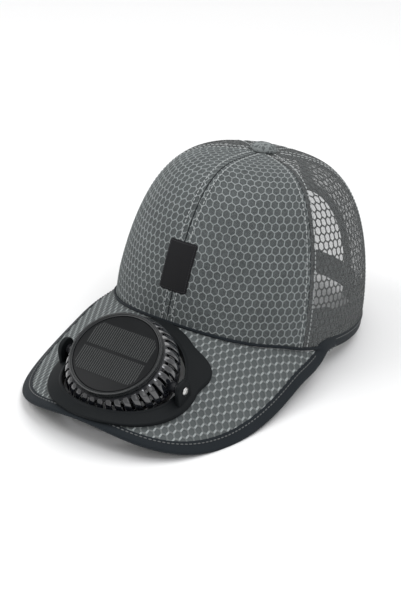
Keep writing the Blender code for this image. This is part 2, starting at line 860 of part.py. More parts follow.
def pivot_ear(side, sunk, seat):
    """Upright lug with a round top, which stands in the flange."""
    steep = EAR_OFFSET * math.cos(PEAK_SLOPE) / PEAK_ARCH_RADIUS
    foot = sunk * math.sqrt(1 + steep * steep) - arch_drop(EAR_OFFSET)
    outline = [(EAR_RADIUS * math.cos(k * 15 * DEG), PIVOT_LIFT + EAR_RADIUS * math.sin(k * 15 * DEG))
               for k in range(13)]
    outline += [(-EAR_RADIUS, foot), (EAR_RADIUS, foot)]
    sections = []
    for x in (EAR_OFFSET - EAR_THICK / 2, EAR_OFFSET + EAR_THICK / 2):
        sections.append([Vector((side * x, y, z)) for y, z in outline])
    return as_tool(sweep("ear_guide", sections, None, seat, closed=False))


def rod_along_x(name, start, end, radius, height, segments, parent):
    """Round rod along X between two stations."""
    sections = []
    for x in (start, end):
        loop = []
        for k in range(segments):
            angle = 2 * math.pi * k / segments
            loop.append(Vector((x, radius * math.cos(angle), height + radius * math.sin(angle))))
        sections.append(loop)
    return sweep(name, sections, None, parent, closed=False)


def pivot_bore(seat):
    """Cutter for the bores through both ears."""
    reach = EAR_OFFSET + 2 * EAR_THICK
    return as_tool(rod_along_x("bore_guide", -reach, reach, SCREW_RADIUS + GAP, PIVOT_LIFT, 16, seat))


def fan_hole(seat):
    """Cutter for the round hole in the peak."""
    radius = OPENING_RADIUS + COLLAR_WALL + GAP
    depth = arch_drop(radius) + 4 * PEAK_THICK
    profile = [(0, -depth), (radius, -depth), (radius, depth), (0, depth)]
    return as_tool(turned("hole_guide", profile, 72, None, seat))


def clamp_ring(finish, seat):
    """Plain ring under the peak, round the collar."""
    top = -(PEAK_BINDING_THICK / 2 + GAP)
    inner = OPENING_RADIUS + COLLAR_WALL + GAP
    sections = []
    for i in range(FLANGE_SEGMENTS):
        angle = 2 * math.pi * i / FLANGE_SEGMENTS
        profile = [(inner, top), (inner, top - CLAMP_THICK), (inner + CLAMP_WIDTH - FLANGE_ROUND, top - CLAMP_THICK),
                   (inner + CLAMP_WIDTH, top - CLAMP_THICK / 2), (inner + CLAMP_WIDTH, top)]
        sections.append([seat_point(r, angle, lift) for r, lift in profile])
    return sweep("clamp_ring", sections, finish, seat, closed=True)


def pivot_screw(name, side, finish, seat):
    """Screw through an ear into the boss of the fan head."""
    face = EAR_OFFSET + EAR_THICK / 2 + GAP
    boss_end = EAR_OFFSET - EAR_THICK / 2 - BOSS_END_GAP
    tip = boss_end - SCREW_DEPTH
    stations = [(tip, SCREW_RADIUS), (face, SCREW_RADIUS), (face, SCREW_HEAD_RADIUS),
                (face + SCREW_HEAD * 0.6, SCREW_HEAD_RADIUS), (face + SCREW_HEAD, SCREW_HEAD_RADIUS * 0.7)]
    sections = []
    for x, radius in stations:
        loop = []
        for k in range(16):
            angle = 2 * math.pi * k / 16
            loop.append(Vector((side * x, radius * math.cos(angle), PIVOT_LIFT + radius * math.sin(angle))))
        sections.append(loop)
    return sweep(name, sections, finish, seat, closed=False)


# Fan head, drawn about its own axis with the pivot at the origin

def panel_bezel(finish, head):
    """Round housing that frames the cell disc and ends below in a neck."""
    top = HEAD_TOP
    flange = top - BEZEL_HEIGHT
    under = flange - NECK_HEIGHT
    inner = BEZEL_RADIUS - BEZEL_LIP
    edge = 0.5 * MM
    profile = [(0, under), (NECK_RADIUS, under), (NECK_RADIUS, flange), (BEZEL_RADIUS - edge, flange),
               (BEZEL_RADIUS, flange + edge), (BEZEL_RADIUS, top - edge), (BEZEL_RADIUS - edge, top),
               (inner + edge, top), (inner, top - edge), (inner, top - PANEL_RECESS), (0, top - PANEL_RECESS)]
    return turned("panel_bezel", profile, BEZEL_SEGMENTS, finish, head)


def solar_panel(finish, head):
    """Disc of cells in the bezel's recess."""
    low = HEAD_TOP - PANEL_RECESS + GAP
    radius = BEZEL_RADIUS - BEZEL_LIP - GAP
    high = low + PANEL_THICK
    profile = [(0, low), (radius, low), (radius, high), (0, high)]
    return turned("solar_panel", profile, BEZEL_SEGMENTS, finish, head)


def guard_columns():
    """Angles of the guard's columns: each rib takes its share of one pitch."""
    pitch = 2 * math.pi / RIB_COUNT
    columns = []
    for k in range(RIB_COUNT):
        columns.append(k * pitch)
        columns.append(k * pitch + pitch * RIB_SHARE)
    return columns


def guard_row(k, lift):
    """Radius and height of one row of the guard's wall, at an offset."""
    here = GUARD_SECTION[k]
    before = GUARD_SECTION[max(k - 1, 0)]
    after = GUARD_SECTION[min(k + 1, len(GUARD_SECTION) - 1)]
    run = (after["radius"] - before["radius"]) * GUARD_RADIUS
    fall = (before["height"] - after["height"]) * HEAD_TOP
    length = math.hypot(run, fall)
    radius = here["radius"] * GUARD_RADIUS + lift * fall / length
    return radius, here["height"] * HEAD_TOP + lift * run / length


def fan_guard(finish, head):
    """Ribbed cage with a bored boss at each side for the pivot screws."""
    columns = guard_columns()
    walls = []
    for lift in (GUARD_WALL / 2, -GUARD_WALL / 2):
        wall = []
        for angle in columns:
            rows = [guard_row(k, lift) for k in range(len(GUARD_SECTION))]
            wall.append([Vector((r * math.cos(angle), r * math.sin(angle), h)) for r, h in rows])
        walls.append(wall)
    rib_rows = range(1, len(GUARD_SECTION) - 2)

    def is_solid(i, j):
        if i % 2 == 0 or j not in rib_rows:
            return True
        middle = columns[i] + math.pi / RIB_COUNT * (1 - RIB_SHARE)
        return abs(math.sin(middle)) < math.sin(PAD_ANGLE)

    guard = pierced_wall("fan_guard", walls[0], walls[1], is_solid, finish, head)
    end = EAR_OFFSET - EAR_THICK / 2 - BOSS_END_GAP
    bottom = end - SCREW_DEPTH - GAP
    for side in (-1, 1):
        boss = rod_along_x("boss_guide", side * GUARD_RADIUS, side * end, BOSS_RADIUS, 0.0, 20, head)
        boolean(guard, as_tool(boss), "UNION")
    for side in (-1, 1):
        bore = rod_along_x("boss_bore_guide", side * bottom, side * (end + 1 * MM), SCREW_RADIUS + GAP, 0.0, 16, head)
        boolean(guard, as_tool(bore), "DIFFERENCE")
    return guard


def skirt_low():
    """Height of the guard's lowest edge."""
    last = len(GUARD_SECTION) - 1
    return min(guard_row(last, GUARD_WALL / 2)[1], guard_row(last, -GUARD_WALL / 2)[1])


def lower_grille(finish, head):
    """Flat grille of rings and spokes that closes the head below."""
    top = skirt_low() - GAP
    pitch = 2 * math.pi / GRILLE_SPOKES
    spoke = GRILLE_BAR / (GRILLE_RADIUS * 0.6)
    columns = []
    for k in range(GRILLE_SPOKES):
        columns.append(k * pitch - spoke / 2)
        columns.append(k * pitch + spoke / 2)
        columns.append((k + 0.5) * pitch)
    radii = [GRILLE_HUB - GRILLE_BAR, GRILLE_HUB]
    ring_pitch = (GRILLE_RADIUS - GRILLE_HUB) / GRILLE_RINGS
    for k in range(GRILLE_RINGS):
        radii.append(GRILLE_HUB + (k + 1) * ring_pitch - GRILLE_BAR)
        radii.append(GRILLE_HUB + (k + 1) * ring_pitch)
    walls = []
    for z in (top, top - GRILLE_THICK):
        walls.append([[Vector((r * math.cos(a), r * math.sin(a), z)) for r in radii] for a in columns])

    def is_solid(i, j):
        return j % 2 == 0 or i % 3 == 0

    return pierced_wall("lower_grille", walls[0], walls[1], is_solid, finish, head, closed_centre=True)


def motor_top():
    """Underside of the bezel's neck, less the gap."""
    return HEAD_TOP - BEZEL_HEIGHT - NECK_HEIGHT - GAP


def motor(finish, head):
    """Motor can with its shaft."""
    top = motor_top()
    low = top - MOTOR_HEIGHT
    chamfer = 0.8 * MM
    profile = [(0, low - SHAFT_LENGTH), (SHAFT_RADIUS, low - SHAFT_LENGTH), (SHAFT_RADIUS, low),
               (MOTOR_RADIUS - chamfer, low), (MOTOR_RADIUS, low + chamfer), (MOTOR_RADIUS, top), (0, top)]
    return turned("motor", profile, 24, finish, head)


def blade_verts(turn):
    """Corners of one blade: a pitched plate through four sections."""
    verts = []
    for row in BLADE_SECTION:
        radius = row["radius"] * BLADE_RADIUS
        chord = row["chord"] * HUB_HEIGHT
        pitch = row["pitch"] * DEG
        along = Vector((0, math.cos(pitch), math.sin(pitch)))
        across = Vector((0, -math.sin(pitch), math.cos(pitch)))
        for a, b in ((-0.5, -0.5), (0.5, -0.5), (0.5, 0.5), (-0.5, 0.5)):
            point = Vector((radius, 0, 0)) + along * chord * a + across * BLADE_THICK * b
            verts.append(Matrix.Rotation(turn, 3, "Z") @ point)
    return verts


def fan_blades(finish, axle):
    """Impeller: a bored hub and its pitched blades, in one piece."""
    top = HUB_HEIGHT / 2
    depth = SHAFT_LENGTH + GAP - RUNNING_GAP
    bore = SHAFT_RADIUS + GAP
    edge = 0.8 * MM
    profile = [(0, -top), (HUB_RADIUS - edge, -top), (HUB_RADIUS, -top + edge), (HUB_RADIUS, top),
               (bore, top), (bore, top - depth), (0, top - depth)]
    hub = turned("fan_blades", profile, 28, finish, axle)
    verts = []
    faces = []
    for k in range(BLADE_COUNT):
        base = len(verts)
        verts += blade_verts(2 * math.pi * k / BLADE_COUNT)
        for section in range(len(BLADE_SECTION) - 1):
            here = base + 4 * section
            for m in range(4):
                after = (m + 1) % 4
                faces.append((here + m, here + after, here + 4 + after, here + 4 + m))
        faces.append((base + 3, base + 2, base + 1, base))
        last = base + 4 * (len(BLADE_SECTION) - 1)
        faces.append((last, last + 1, last + 2, last + 3))
    blades = as_tool(add_object("blade_guide", verts, faces, None, axle))
    boolean(hub, blades, "UNION")
    return hub


# Rest on the floor

def world_points(items):
    bpy.context.view_layer.update()
    return [item.matrix_world @ v.co for item in items for v in item.data.vertices]


def rest_pitch(points):
    """Angle to pitch the cap back so that it stands on its front and its back."""
    pitch = 0.0
    for _ in range(12):
        sine, cosine = math.sin(pitch), math.cos(pitch)
        front = min((p for p in points if p.y < 0), key=lambda p: p.z * cosine - p.y * sine)
        back = min((p for p in points if p.y >= 0), key=lambda p: p.z * cosine - p.y * sine)
        pitch = math.atan2(front.z - back.z, front.y - back.y)
        if pitch < -math.pi / 2:
            pitch += math.pi
    return pitch


def floor_guide():
    """Cutter below the floor, for the cloth edges that are pressed flat."""
    wide = 4 * CROWN_FRONT
    low = -10 * MM
    loop = [(-wide, -wide), (wide, -wide), (wide, wide), (-wide, wide)]
    sections = [[Vector((x, y, z)) for x, y in loop] for z in (low, 0.0)]
    return as_tool(sweep("floor_guide", sections, None, None, closed=False))


def set_down(stand, edges):
    """Pitch and lower the hat on to the floor and centre it over the origin."""
    pitch = rest_pitch(world_points(edges))
    stand.rotation_euler = (-pitch, 0, 0)
    stand.location = (0, 0, -min(p.z for p in world_points(edges)) - REST_FLAT)
    solids = [item for item in bpy.data.objects if item.type == "MESH" and not item.hide_render]
    depth = [p.y for p in world_points(solids)]
    stand.location.y = -(min(depth) + max(depth)) / 2
    guide = floor_guide()
    for item in edges:
        boolean(item, guide, "DIFFERENCE")
    bpy.context.view_layer.update()


def main():
    remove_all_objects()
    stand = add_empty("hat_stand", (0, 0, 0), 0.0)
    seat = add_empty("fan_seat", seat_origin(), PEAK_SLOPE, stand)
    head = add_empty("fan_tilt_axis", (0, 0, PIVOT_LIFT), HEAD_TILT, seat)
    hub_top = motor_top() - MOTOR_HEIGHT - RUNNING_GAP
    axle = add_empty("blade_axis", (0, 0, hub_top - HUB_HEIGHT / 2), 0.0, head)

    front_columns = even_angles(0.0, SIDE_SEAM)
    side_columns = even_angles(SIDE_SEAM, TAPE_START)[:-1] + ramp_angles()[:-1]
    side_columns += even_angles(TAPE_RAMP[1], REAR_SEAM)
    for hand, side in (("left", 1), ("right", -1)):
        panel("front_panel_" + hand, front_columns, side, "front_cloth", stand)
        panel("side_panel_" + hand, side_columns, side, "mesh_cloth", stand)
        rear_panel("rear_panel_" + hand, side, "mesh_cloth", stand)
        pivot_screw("pivot_screw_" + hand, side, "screw_steel", seat)
    top_button("front_cloth", stand)
    front_label("label_cloth", stand)
    rear_strap("tape_cloth", stand)
    sweatband("tape_cloth", stand)
    rim = rim_binding("tape_cloth", stand)
    peak = peak_slab("front_cloth", stand)
    boolean(peak, fan_hole(seat), "DIFFERENCE")
    edge = peak_binding("tape_cloth", stand)

    fan_plate("matte_plastic", seat)
    clamp_ring("matte_plastic", seat)
    panel_bezel("matte_plastic", head)
    solar_panel("cell_face", head)
    fan_guard("gloss_plastic", head)
    lower_grille("matte_plastic", head)
    motor("matte_plastic", head)
    fan_blades("gloss_plastic", axle)
    set_down(stand, [rim, edge])


main()
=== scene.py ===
"""Looks of the solar fan hat: cloth, nets, tapes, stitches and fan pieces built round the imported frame."""

import math

import bmesh
import bpy
import numpy as np
from mathutils import Matrix, Vector


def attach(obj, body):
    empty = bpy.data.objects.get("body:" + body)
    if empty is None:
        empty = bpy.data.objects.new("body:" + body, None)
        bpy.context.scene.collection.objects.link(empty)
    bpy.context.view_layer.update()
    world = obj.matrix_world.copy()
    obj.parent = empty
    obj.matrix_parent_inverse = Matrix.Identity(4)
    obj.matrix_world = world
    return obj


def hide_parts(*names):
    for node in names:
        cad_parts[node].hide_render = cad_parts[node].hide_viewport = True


bl_info = {
    "name": "Solar fan hat",
    "version": (1, 0, 0),
    "blender": (4, 5, 0),
    "location": "3D View > Sidebar > Hat",
    "description": "Builds the cloth, stitches and fan of a solar fan hat",
    "category": "Object",
}

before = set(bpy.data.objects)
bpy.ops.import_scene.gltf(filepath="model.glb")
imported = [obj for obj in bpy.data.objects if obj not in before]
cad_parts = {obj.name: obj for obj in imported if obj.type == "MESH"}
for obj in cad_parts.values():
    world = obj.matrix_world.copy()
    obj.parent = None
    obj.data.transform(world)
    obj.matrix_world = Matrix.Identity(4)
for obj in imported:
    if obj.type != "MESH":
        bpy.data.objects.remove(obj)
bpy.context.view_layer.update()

MM = 0.001
DEG = math.pi / 180
SHARP_ANGLE = 38.0 * DEG
SURFACE_STEP = 0.004
UV_PER_METRE = 100.0

# The part's own sizes: crown
CROWN_HALF_WIDTH = 80.5 * MM
CROWN_FRONT = 100.5 * MM
CROWN_BACK = 104.7 * MM
CROWN_HEIGHT = 114.0 * MM
CROWN_LEAN = 3.6 * MM
FRONT_FULLNESS = 0.44
SIDE_FULLNESS = 0.50
BACK_FULLNESS = 0.65
DOME_POWER = 1.09
BACK_EDGE_RISE = 3.0 * MM
SIDE_SEAM = 64.0 * DEG
REAR_SEAM = 122.0 * DEG
CLOTH = 1.2 * MM
GAP = 0.3 * MM
CROWN_EYE = 0.05

# Rear opening, rim tape, strap and sweatband
ARCH_HALF_WIDTH = 36.0 * MM
ARCH_HEIGHT = 74.0 * MM
ARCH_TAPE = 7.0 * MM
RIM_TAPE = 9.0 * MM
CLOTH_TUCK = 0.7
NET_TUCK = 0.3
TAPE_THICK = 2.2 * MM
TAPE_START = 72.5 * DEG
TAPE_RAMP = (70.0 * DEG, 82.0 * DEG)
STRAP_LOW = 10.0 * MM
STRAP_WIDTH = 18.0 * MM
STRAP_LAP = 9.0 * MM
STRAP_THICK = 1.2 * MM
STRAP_SEAM = 2.0 * MM
STRIP_REACH = 90 * MM
BAND_HEIGHT = 27.0 * MM
BAND_DROP = 1.0 * MM
BAND_THICK = 1.0 * MM
BAND_GAP = 0.4 * MM
BAND_FROM_STRAP = 4.0 * MM

# Button and label
BUTTON_RADIUS = 9.2 * MM
BUTTON_HEIGHT = 6.2 * MM
STEM_RADIUS = 1.6 * MM
STEM_LENGTH = 3.5 * MM
PLEAT = 0.025
LABEL_WIDTH = 19.7 * MM
LABEL_LOW = 34.5 * MM
LABEL_HIGH = 66.5 * MM
LABEL_CORNER = 1.6 * MM
LABEL_UNDER = 0.4 * MM
LABEL_PILLOW = 1.4 * MM
LABEL_SEAM = 1.1 * MM

# Peak
PEAK_ROOT_HEIGHT = 12.3 * MM
PEAK_SLOPE = 24.7 * DEG
PEAK_ARCH_RADIUS = 83.0 * MM
PEAK_HALF_WIDTH = 84.0 * MM
PEAK_REACH = 89.5 * MM
PEAK_THICK = 2.6 * MM
PEAK_BINDING = 6.6 * MM
PEAK_BINDING_THICK = 3.0 * MM
PEAK_CORNER_ANGLE = 76.7 * DEG
PEAK_CORNER_OUT = 2.6 * MM
SLAB_END_ANGLE = 64.0 * DEG
PEAK_WIDEST = 0.615
PEAK_OUTLINE_POWER = 2.5
PEAK_SIDE_EASE = 0.34
PEAK_EASE = 0.27
PEAK_EASE_START = 0.6
PEAK_EASE_SPAN = 16.0 * MM

# Fan seat and fan head
FAN_FROM_CROWN = 49.5 * MM
FLANGE_RADIUS = 48.2 * MM
FLANGE_THICK = 2.3 * MM
LOBE_OUT = 6.8 * MM
LOBE_ANGLE = 55.5 * DEG
LOBE_SPREAD = 23.0 * DEG
OPENING_RADIUS = 38.5 * MM
COLLAR_WALL = 1.2 * MM
COLLAR_DEPTH = 5.6 * MM
CLAMP_WIDTH = 6.4 * MM
CLAMP_THICK = 2.0 * MM
EAR_OFFSET = 43.8 * MM
EAR_THICK = 3.0 * MM
EAR_RADIUS = 7.0 * MM
PIVOT_LIFT = 1.5 * MM
HEAD_TILT = 17.0 * DEG
HEAD_TOP = 18.3 * MM
BEZEL_RADIUS = 30.0 * MM
BEZEL_HEIGHT = 4.3 * MM
BEZEL_LIP = 2.5 * MM
PANEL_RECESS = 2.0 * MM
NECK_RADIUS = 27.0 * MM
NECK_HEIGHT = 2.5 * MM
GUARD_RADIUS = 35.5 * MM
GUARD_WALL = 1.6 * MM
RIB_COUNT = 36
RIB_SHARE = 0.7
BOSS_RADIUS = 3.2 * MM
BOSS_END_GAP = 0.4 * MM
SCREW_RADIUS = 1.3 * MM
SCREW_HEAD_RADIUS = 2.7 * MM
SCREW_HEAD = 1.2 * MM
SCREW_DEPTH = 4.4 * MM
GRILLE_RADIUS = 33.4 * MM
GRILLE_THICK = 1.6 * MM
GRILLE_SPOKES = 12
GRILLE_RINGS = 4
GRILLE_HUB = 8.0 * MM
GRILLE_BAR = 1.8 * MM
MOTOR_RADIUS = 9.0 * MM
MOTOR_HEIGHT = 10.4 * MM
SHAFT_RADIUS = 1.0 * MM
SHAFT_LENGTH = 7.5 * MM
HUB_RADIUS = 8.0 * MM
HUB_HEIGHT = 8.8 * MM
BLADE_COUNT = 7
BLADE_RADIUS = 29.5 * MM
BLADE_THICK = 1.2 * MM
RUNNING_GAP = 0.5 * MM

# Guard wall, neck to skirt: radius as a share of GUARD_RADIUS, height as a share of HEAD_TOP
GUARD_SECTION = [
    {"radius": 0.785, "height": 0.700},
    {"radius": 0.825, "height": 0.685},
    {"radius": 0.925, "height": 0.560},
    {"radius": 0.985, "height": 0.280},
    {"radius": 1.000, "height": -0.060},
    {"radius": 0.945, "height": -0.520},
]

# Blade from hub to tip: radius as a share of the tip's, chord as a share of HUB_HEIGHT, pitch
BLADE_SECTION = [
    {"radius": 0.235, "chord": 1.00, "pitch": 46.0},
    {"radius": 0.50, "chord": 1.20, "pitch": 38.0},
    {"radius": 0.78, "chord": 1.38, "pitch": 31.0},
    {"radius": 1.00, "chord": 1.45, "pitch": 27.0},
]

# How the cap rests on the floor, the frames of the fan on it, and the body that rides on each frame
STAND = Matrix.Translation((0, 44.2308560 * MM, 13.3618936 * MM)) @ Matrix.Rotation(-9.918237 * DEG, 4, "X")
SEAT_Y = -CROWN_FRONT - FAN_FROM_CROWN * math.cos(PEAK_SLOPE)
SEAT_Z = PEAK_ROOT_HEIGHT - FAN_FROM_CROWN * math.sin(PEAK_SLOPE)
SEAT = STAND @ Matrix.Translation((0, SEAT_Y, SEAT_Z)) @ Matrix.Rotation(PEAK_SLOPE, 4, "X")
HEAD = SEAT @ Matrix.Translation((0, 0, PIVOT_LIFT)) @ Matrix.Rotation(HEAD_TILT, 4, "X")
MOTOR_TOP = HEAD_TOP - BEZEL_HEIGHT - NECK_HEIGHT - GAP
AXLE = HEAD @ Matrix.Translation((0, 0, MOTOR_TOP - MOTOR_HEIGHT - RUNNING_GAP - HUB_HEIGHT / 2))
ON_CAP, ON_SEAT, ON_HEAD, ON_AXLE = (STAND, "cap"), (SEAT, "cap"), (HEAD, "fan_head"), (AXLE, "impeller")

# Looks that the part leaves plain: cloth, stitches, the ribbon at the peak's corners, disc and cells
PANEL_PUFF = 0.9 * MM
# Slits between the panels, through which the dark seam tape shows as painted shade in the seams
FRONT_SLIT = 0.5 * MM
SEAM_SLIT = 0.2 * MM
SEAM_TAPE_HALF = 4.4 * MM
SEAM_TAPE_OUT = (-0.75 * MM, -1.15 * MM)
TOPSTITCH = 3.6 * MM
NET_THICK = 0.3 * MM
NET_YARN = 0.5 * MM
FRONT_CLOTH = 0.8 * MM
STITCH_LIFT = 0.08 * MM
RIM_STITCH = 0.74
PEAK_STITCH = 0.72
RIBBON_START = 70.6 * DEG
RIBBON_END = 84.0 * DEG
RIBBON_LAP = 1.0 * DEG
RIBBON_STEPS = 19
RIBBON_BLEND = 0.8
CORNER_SWELL = 0.5 * MM
# Dark cord along the crown's lower edge where it meets the peak: painted shadow of that seam
SHADOW_CORD_END = 73.6 * DEG
SHADOW_CORD_RADIUS = 1.0 * MM
# Slant of the peak net's strands that are given a painted glint
GLINT_SLANT = 90.0
DISC_TOP = HEAD_TOP - 0.75 * MM
CELL = {"half_width": 22.6 * MM, "radius": 25.6 * MM, "near": 0.9 * MM, "far": 17.5 * MM}

# Steps down the guard's wall, and the stretches of them that are neck, ribs and skirt
GUARD_STEPS = 61
GUARD_NECK = (0, 19)
GUARD_RIBS = (15, 52)
GUARD_SKIRT = (48, 61)


# Node trees

class Value:
    """An output of a node; arithmetic on it adds Math nodes."""

    def __init__(self, graph, socket):
        self.graph = graph
        self.socket = socket

    def __add__(self, other):
        return self.graph.maths("ADD", self, other)

    __radd__ = __add__

    def __sub__(self, other):
        return self.graph.maths("SUBTRACT", self, other)

    def __mul__(self, other):
        return self.graph.maths("MULTIPLY", self, other)

    def __truediv__(self, other):
        return self.graph.maths("DIVIDE", self, other)

    def __mod__(self, other):
        return self.graph.maths("FLOORED_MODULO", self, other)


class Graph:
    """A node tree that is written as expressions."""

    def __init__(self, tree):
        self.tree = tree

    def put(self, socket, value):
        if isinstance(value, Value):
            self.tree.links.new(value.socket, socket)
        else:
            socket.default_value = value

    def node(self, kind, inputs=None, out=0, **settings):
        """Add a node with its settings and the values of its sockets; returns one of its outputs."""
        made = self.tree.nodes.new(kind)
        for key, value in settings.items():
            setattr(made, key, value)
        for key, value in (inputs or {}).items():
            self.put(made.inputs[key], value)
        return Value(self, made.outputs[out])

    def step(self, kind, inputs=None, **settings):
        """Add a geometry node."""
        return self.node("GeometryNode" + kind, inputs, **settings)

    def also(self, value, out):
        """Another output of the node that made a value."""
        return Value(self, value.socket.node.outputs[out])

    def maths(self, operation, a, b=0.0):
        return self.node("ShaderNodeMath", {0: a, 1: b}, operation=operation)

    def blend(self, share, a, b):
        """Colour between a and b."""
        return self.node("ShaderNodeMix", {0: share, 6: a, 7: b}, out=2, data_type="RGBA")


def new_tree(name, inputs, takes_mesh):
    """Geometry tree with named inputs: name -> (socket type, default)."""
    tree = bpy.data.node_groups.new(name, "GeometryNodeTree")
    if takes_mesh:
        tree.interface.new_socket("Geometry", in_out="INPUT", socket_type="NodeSocketGeometry")
    for label, (kind, default) in inputs.items():
        socket = tree.interface.new_socket(label, in_out="INPUT", socket_type="NodeSocket" + kind)
        if default is not None:
            socket.default_value = default
    tree.interface.new_socket("Geometry", in_out="OUTPUT", socket_type="NodeSocketGeometry")
    graph = Graph(tree)
    entry = tree.nodes.new("NodeGroupInput")
    values = {socket.name: Value(graph, socket) for socket in entry.outputs if socket.name}
    return graph, values


def end_tree(graph, geometry, material):
    """Realize Instances, Set Material, Group Output."""
    geometry = graph.step("RealizeInstances", {"Geometry": geometry})
    geometry = graph.step("SetMaterial", {"Geometry": geometry, "Material": material})
    graph.put(graph.tree.nodes.new("NodeGroupOutput").inputs[0], geometry)
    return graph.tree


def linked(name, data):
    """New object in the scene."""
    item = bpy.data.objects.new(name, data)
    bpy.context.scene.collection.objects.link(item)
    return item


def grow(tree, values, mesh=None):
    """Run a geometry tree, on a mesh if it takes one, and return the plain mesh it makes."""
    item = linked("seed", mesh or bpy.data.meshes.new("seed"))
    step = item.modifiers.new("make", "NODES")
    step.node_group = tree
    for socket in tree.interface.items_tree:
        if socket.item_type == "SOCKET" and socket.in_out == "INPUT" and socket.name in values:
            step[socket.identifier] = values[socket.name]
    item.update_tag()
    graph = bpy.context.evaluated_depsgraph_get()
    made = bpy.data.meshes.new_from_object(item.evaluated_get(graph), depsgraph=graph)
    item.modifiers.remove(step)
    bpy.data.objects.remove(item)
    return made


def net_tree():
    """Flat sheet of hexagon net: a lattice, its dual, a hole in each cell, then thickness."""
    graph, given = new_tree("Hexagon net", {
        "Columns": ("Int", 10), "Rows": ("Int", 10), "Pitch": ("Float", 4 * MM),
        "Row pitch": ("Float", 3.5 * MM), "Hole share": ("Float", 0.8),
        "Thickness": ("Float", NET_THICK), "Material": ("Material", None)}, False)
    columns, rows, pitch = given["Columns"], given["Rows"], given["Pitch"]
    lattice = graph.step("MeshGrid", {
        "Size X": (columns - 1) * pitch, "Size Y": (rows - 1) * given["Row pitch"],
        "Vertices X": columns, "Vertices Y": rows})
    index = graph.step("InputIndex")
    odd = (index % rows) % 2
    shift = graph.node("ShaderNodeCombineXYZ", {"X": odd * pitch / 2})
    lattice = graph.step("SetPosition", {"Geometry": lattice, "Offset": shift})
    lattice = graph.step("Triangulate", {"Mesh": lattice})
    cells = graph.step("DualMesh", {"Mesh": lattice})
    rims = graph.step("ExtrudeMesh", {"Mesh": cells, "Offset Scale": 0.0, "Individual": True}, mode="FACES")
    top = graph.also(rims, "Top")
    rims = graph.step("ScaleElements", {"Geometry": rims, "Selection": top, "Scale": given["Hole share"]},
                      domain="FACE")
    rims = graph.step("DeleteGeometry", {"Geometry": rims, "Selection": top}, domain="FACE")
    thick = graph.step("ExtrudeMesh", {"Mesh": rims, "Offset Scale": given["Thickness"],
                                                   "Individual": False}, mode="FACES")
    under = graph.step("FlipFaces", {"Mesh": rims})
    both = graph.tree.nodes.new("GeometryNodeJoinGeometry")
    graph.put(both.inputs[0], under)
    graph.put(both.inputs[0], thick)
    sheet = graph.step("MergeByDistance", {"Geometry": Value(graph, both.outputs[0]),
                                                       "Distance": 0.01 * MM})
    return end_tree(graph, sheet, given["Material"])


def stitch_tree():
    """Small round stitches at even steps along the edges of a mesh."""
    graph, given = new_tree("Stitches", {
        "Pitch": ("Float", 3 * MM), "Length": ("Float", 2.2 * MM), "Thread": ("Float", 0.5 * MM),
        "Material": ("Material", None)}, True)
    path = graph.step("MeshToCurve", {"Mesh": given["Geometry"]})
    path = graph.step("ResampleCurve", {"Curve": path, "Length": given["Pitch"]}, mode="LENGTH")
    tangent = graph.step("InputTangent")
    turn = graph.node("FunctionNodeAlignRotationToVector", {"Vector": tangent}, axis="Z")
    ball = graph.step("MeshUVSphere", {"Segments": 6, "Rings": 4, "Radius": 0.5})
    width = given["Thread"]
    size = graph.node("ShaderNodeCombineXYZ", {"X": width, "Y": width, "Z": given["Length"]})
    row = graph.step("InstanceOnPoints", {"Points": path, "Instance": ball, "Rotation": turn, "Scale": size})
    return end_tree(graph, row, given["Material"])


def round_tree():
    """Copies of a mesh at even turns about the Z axis."""
    graph, given = new_tree("Round the axis", {"Count": ("Int", 6), "Material": ("Material", None)}, True)
    points = graph.step("MeshLine", {"Count": given["Count"], "Offset": (0.0, 0.0, 0.0)})
    index = graph.step("InputIndex")
    turn = graph.node("ShaderNodeCombineXYZ", {"Z": index * (2 * math.pi) / given["Count"]})
    ring = graph.step("InstanceOnPoints", {"Points": points, "Instance": given["Geometry"], "Rotation": turn})
    return end_tree(graph, ring, given["Material"])


def finger_tree():
    """Row of thin bars across a cell, each cut to the disc's edge."""
    graph, given = new_tree("Cell lines", {
        "Count": ("Int", 30), "Pitch": ("Float", 1.5 * MM), "Width": ("Float", 0.3 * MM),
        "Near": ("Float", 1 * MM), "Far": ("Float", 17 * MM), "Disc radius": ("Float", 26 * MM),
        "Material": ("Material", None)}, False)
    points = graph.step("MeshLine", {"Count": given["Count"], "Offset": (0.0, 0.0, 0.0)})
    index = graph.step("InputIndex")
    x = (index - (given["Count"] - 1) / 2) * given["Pitch"]
    reach = graph.maths("SQRT", given["Disc radius"] * given["Disc radius"] - x * x)
    far = graph.maths("MINIMUM", reach, given["Far"])
    length = far - given["Near"]
    place = graph.node("ShaderNodeCombineXYZ", {"X": x, "Y": given["Near"] + length / 2})
    points = graph.step("SetPosition", {"Geometry": points, "Position": place})
    bar = graph.step("MeshCube", {"Size": (1.0, 1.0, 1.0)})
    size = graph.node("ShaderNodeCombineXYZ", {"X": given["Width"], "Y": length, "Z": 0.12 * MM})
    row = graph.step("InstanceOnPoints", {"Points": points, "Instance": bar, "Scale": size})
    return end_tree(graph, row, given["Material"])


# The crown's surface; theta runs from the front towards the wearer's left, up from rim to top

def smooth(value):
    """Soft step from 0 to 1."""
    value = np.clip(value, 0.0, 1.0)
    return value * value * (3 - 2 * value)


def crown_power(theta):
    """Fullness of the crown's upright section at this angle."""
    side = np.sin(theta) ** 2
    end = np.where(np.cos(theta) >= 0, FRONT_FULLNESS, BACK_FULLNESS)
    return end * (1 - side) + SIDE_FULLNESS * side


def crown_shrink(theta, up):
    """Share of the rim's width that is left at this share of the height."""
    return (1 - np.minimum(up, 1.0) ** 2) ** (crown_power(theta) / 2)


def up_at_shrink(theta, shrink):
    """Share of the height where this share of the rim's width is left."""
    return np.sqrt(1 - shrink ** (2 / crown_power(theta)))


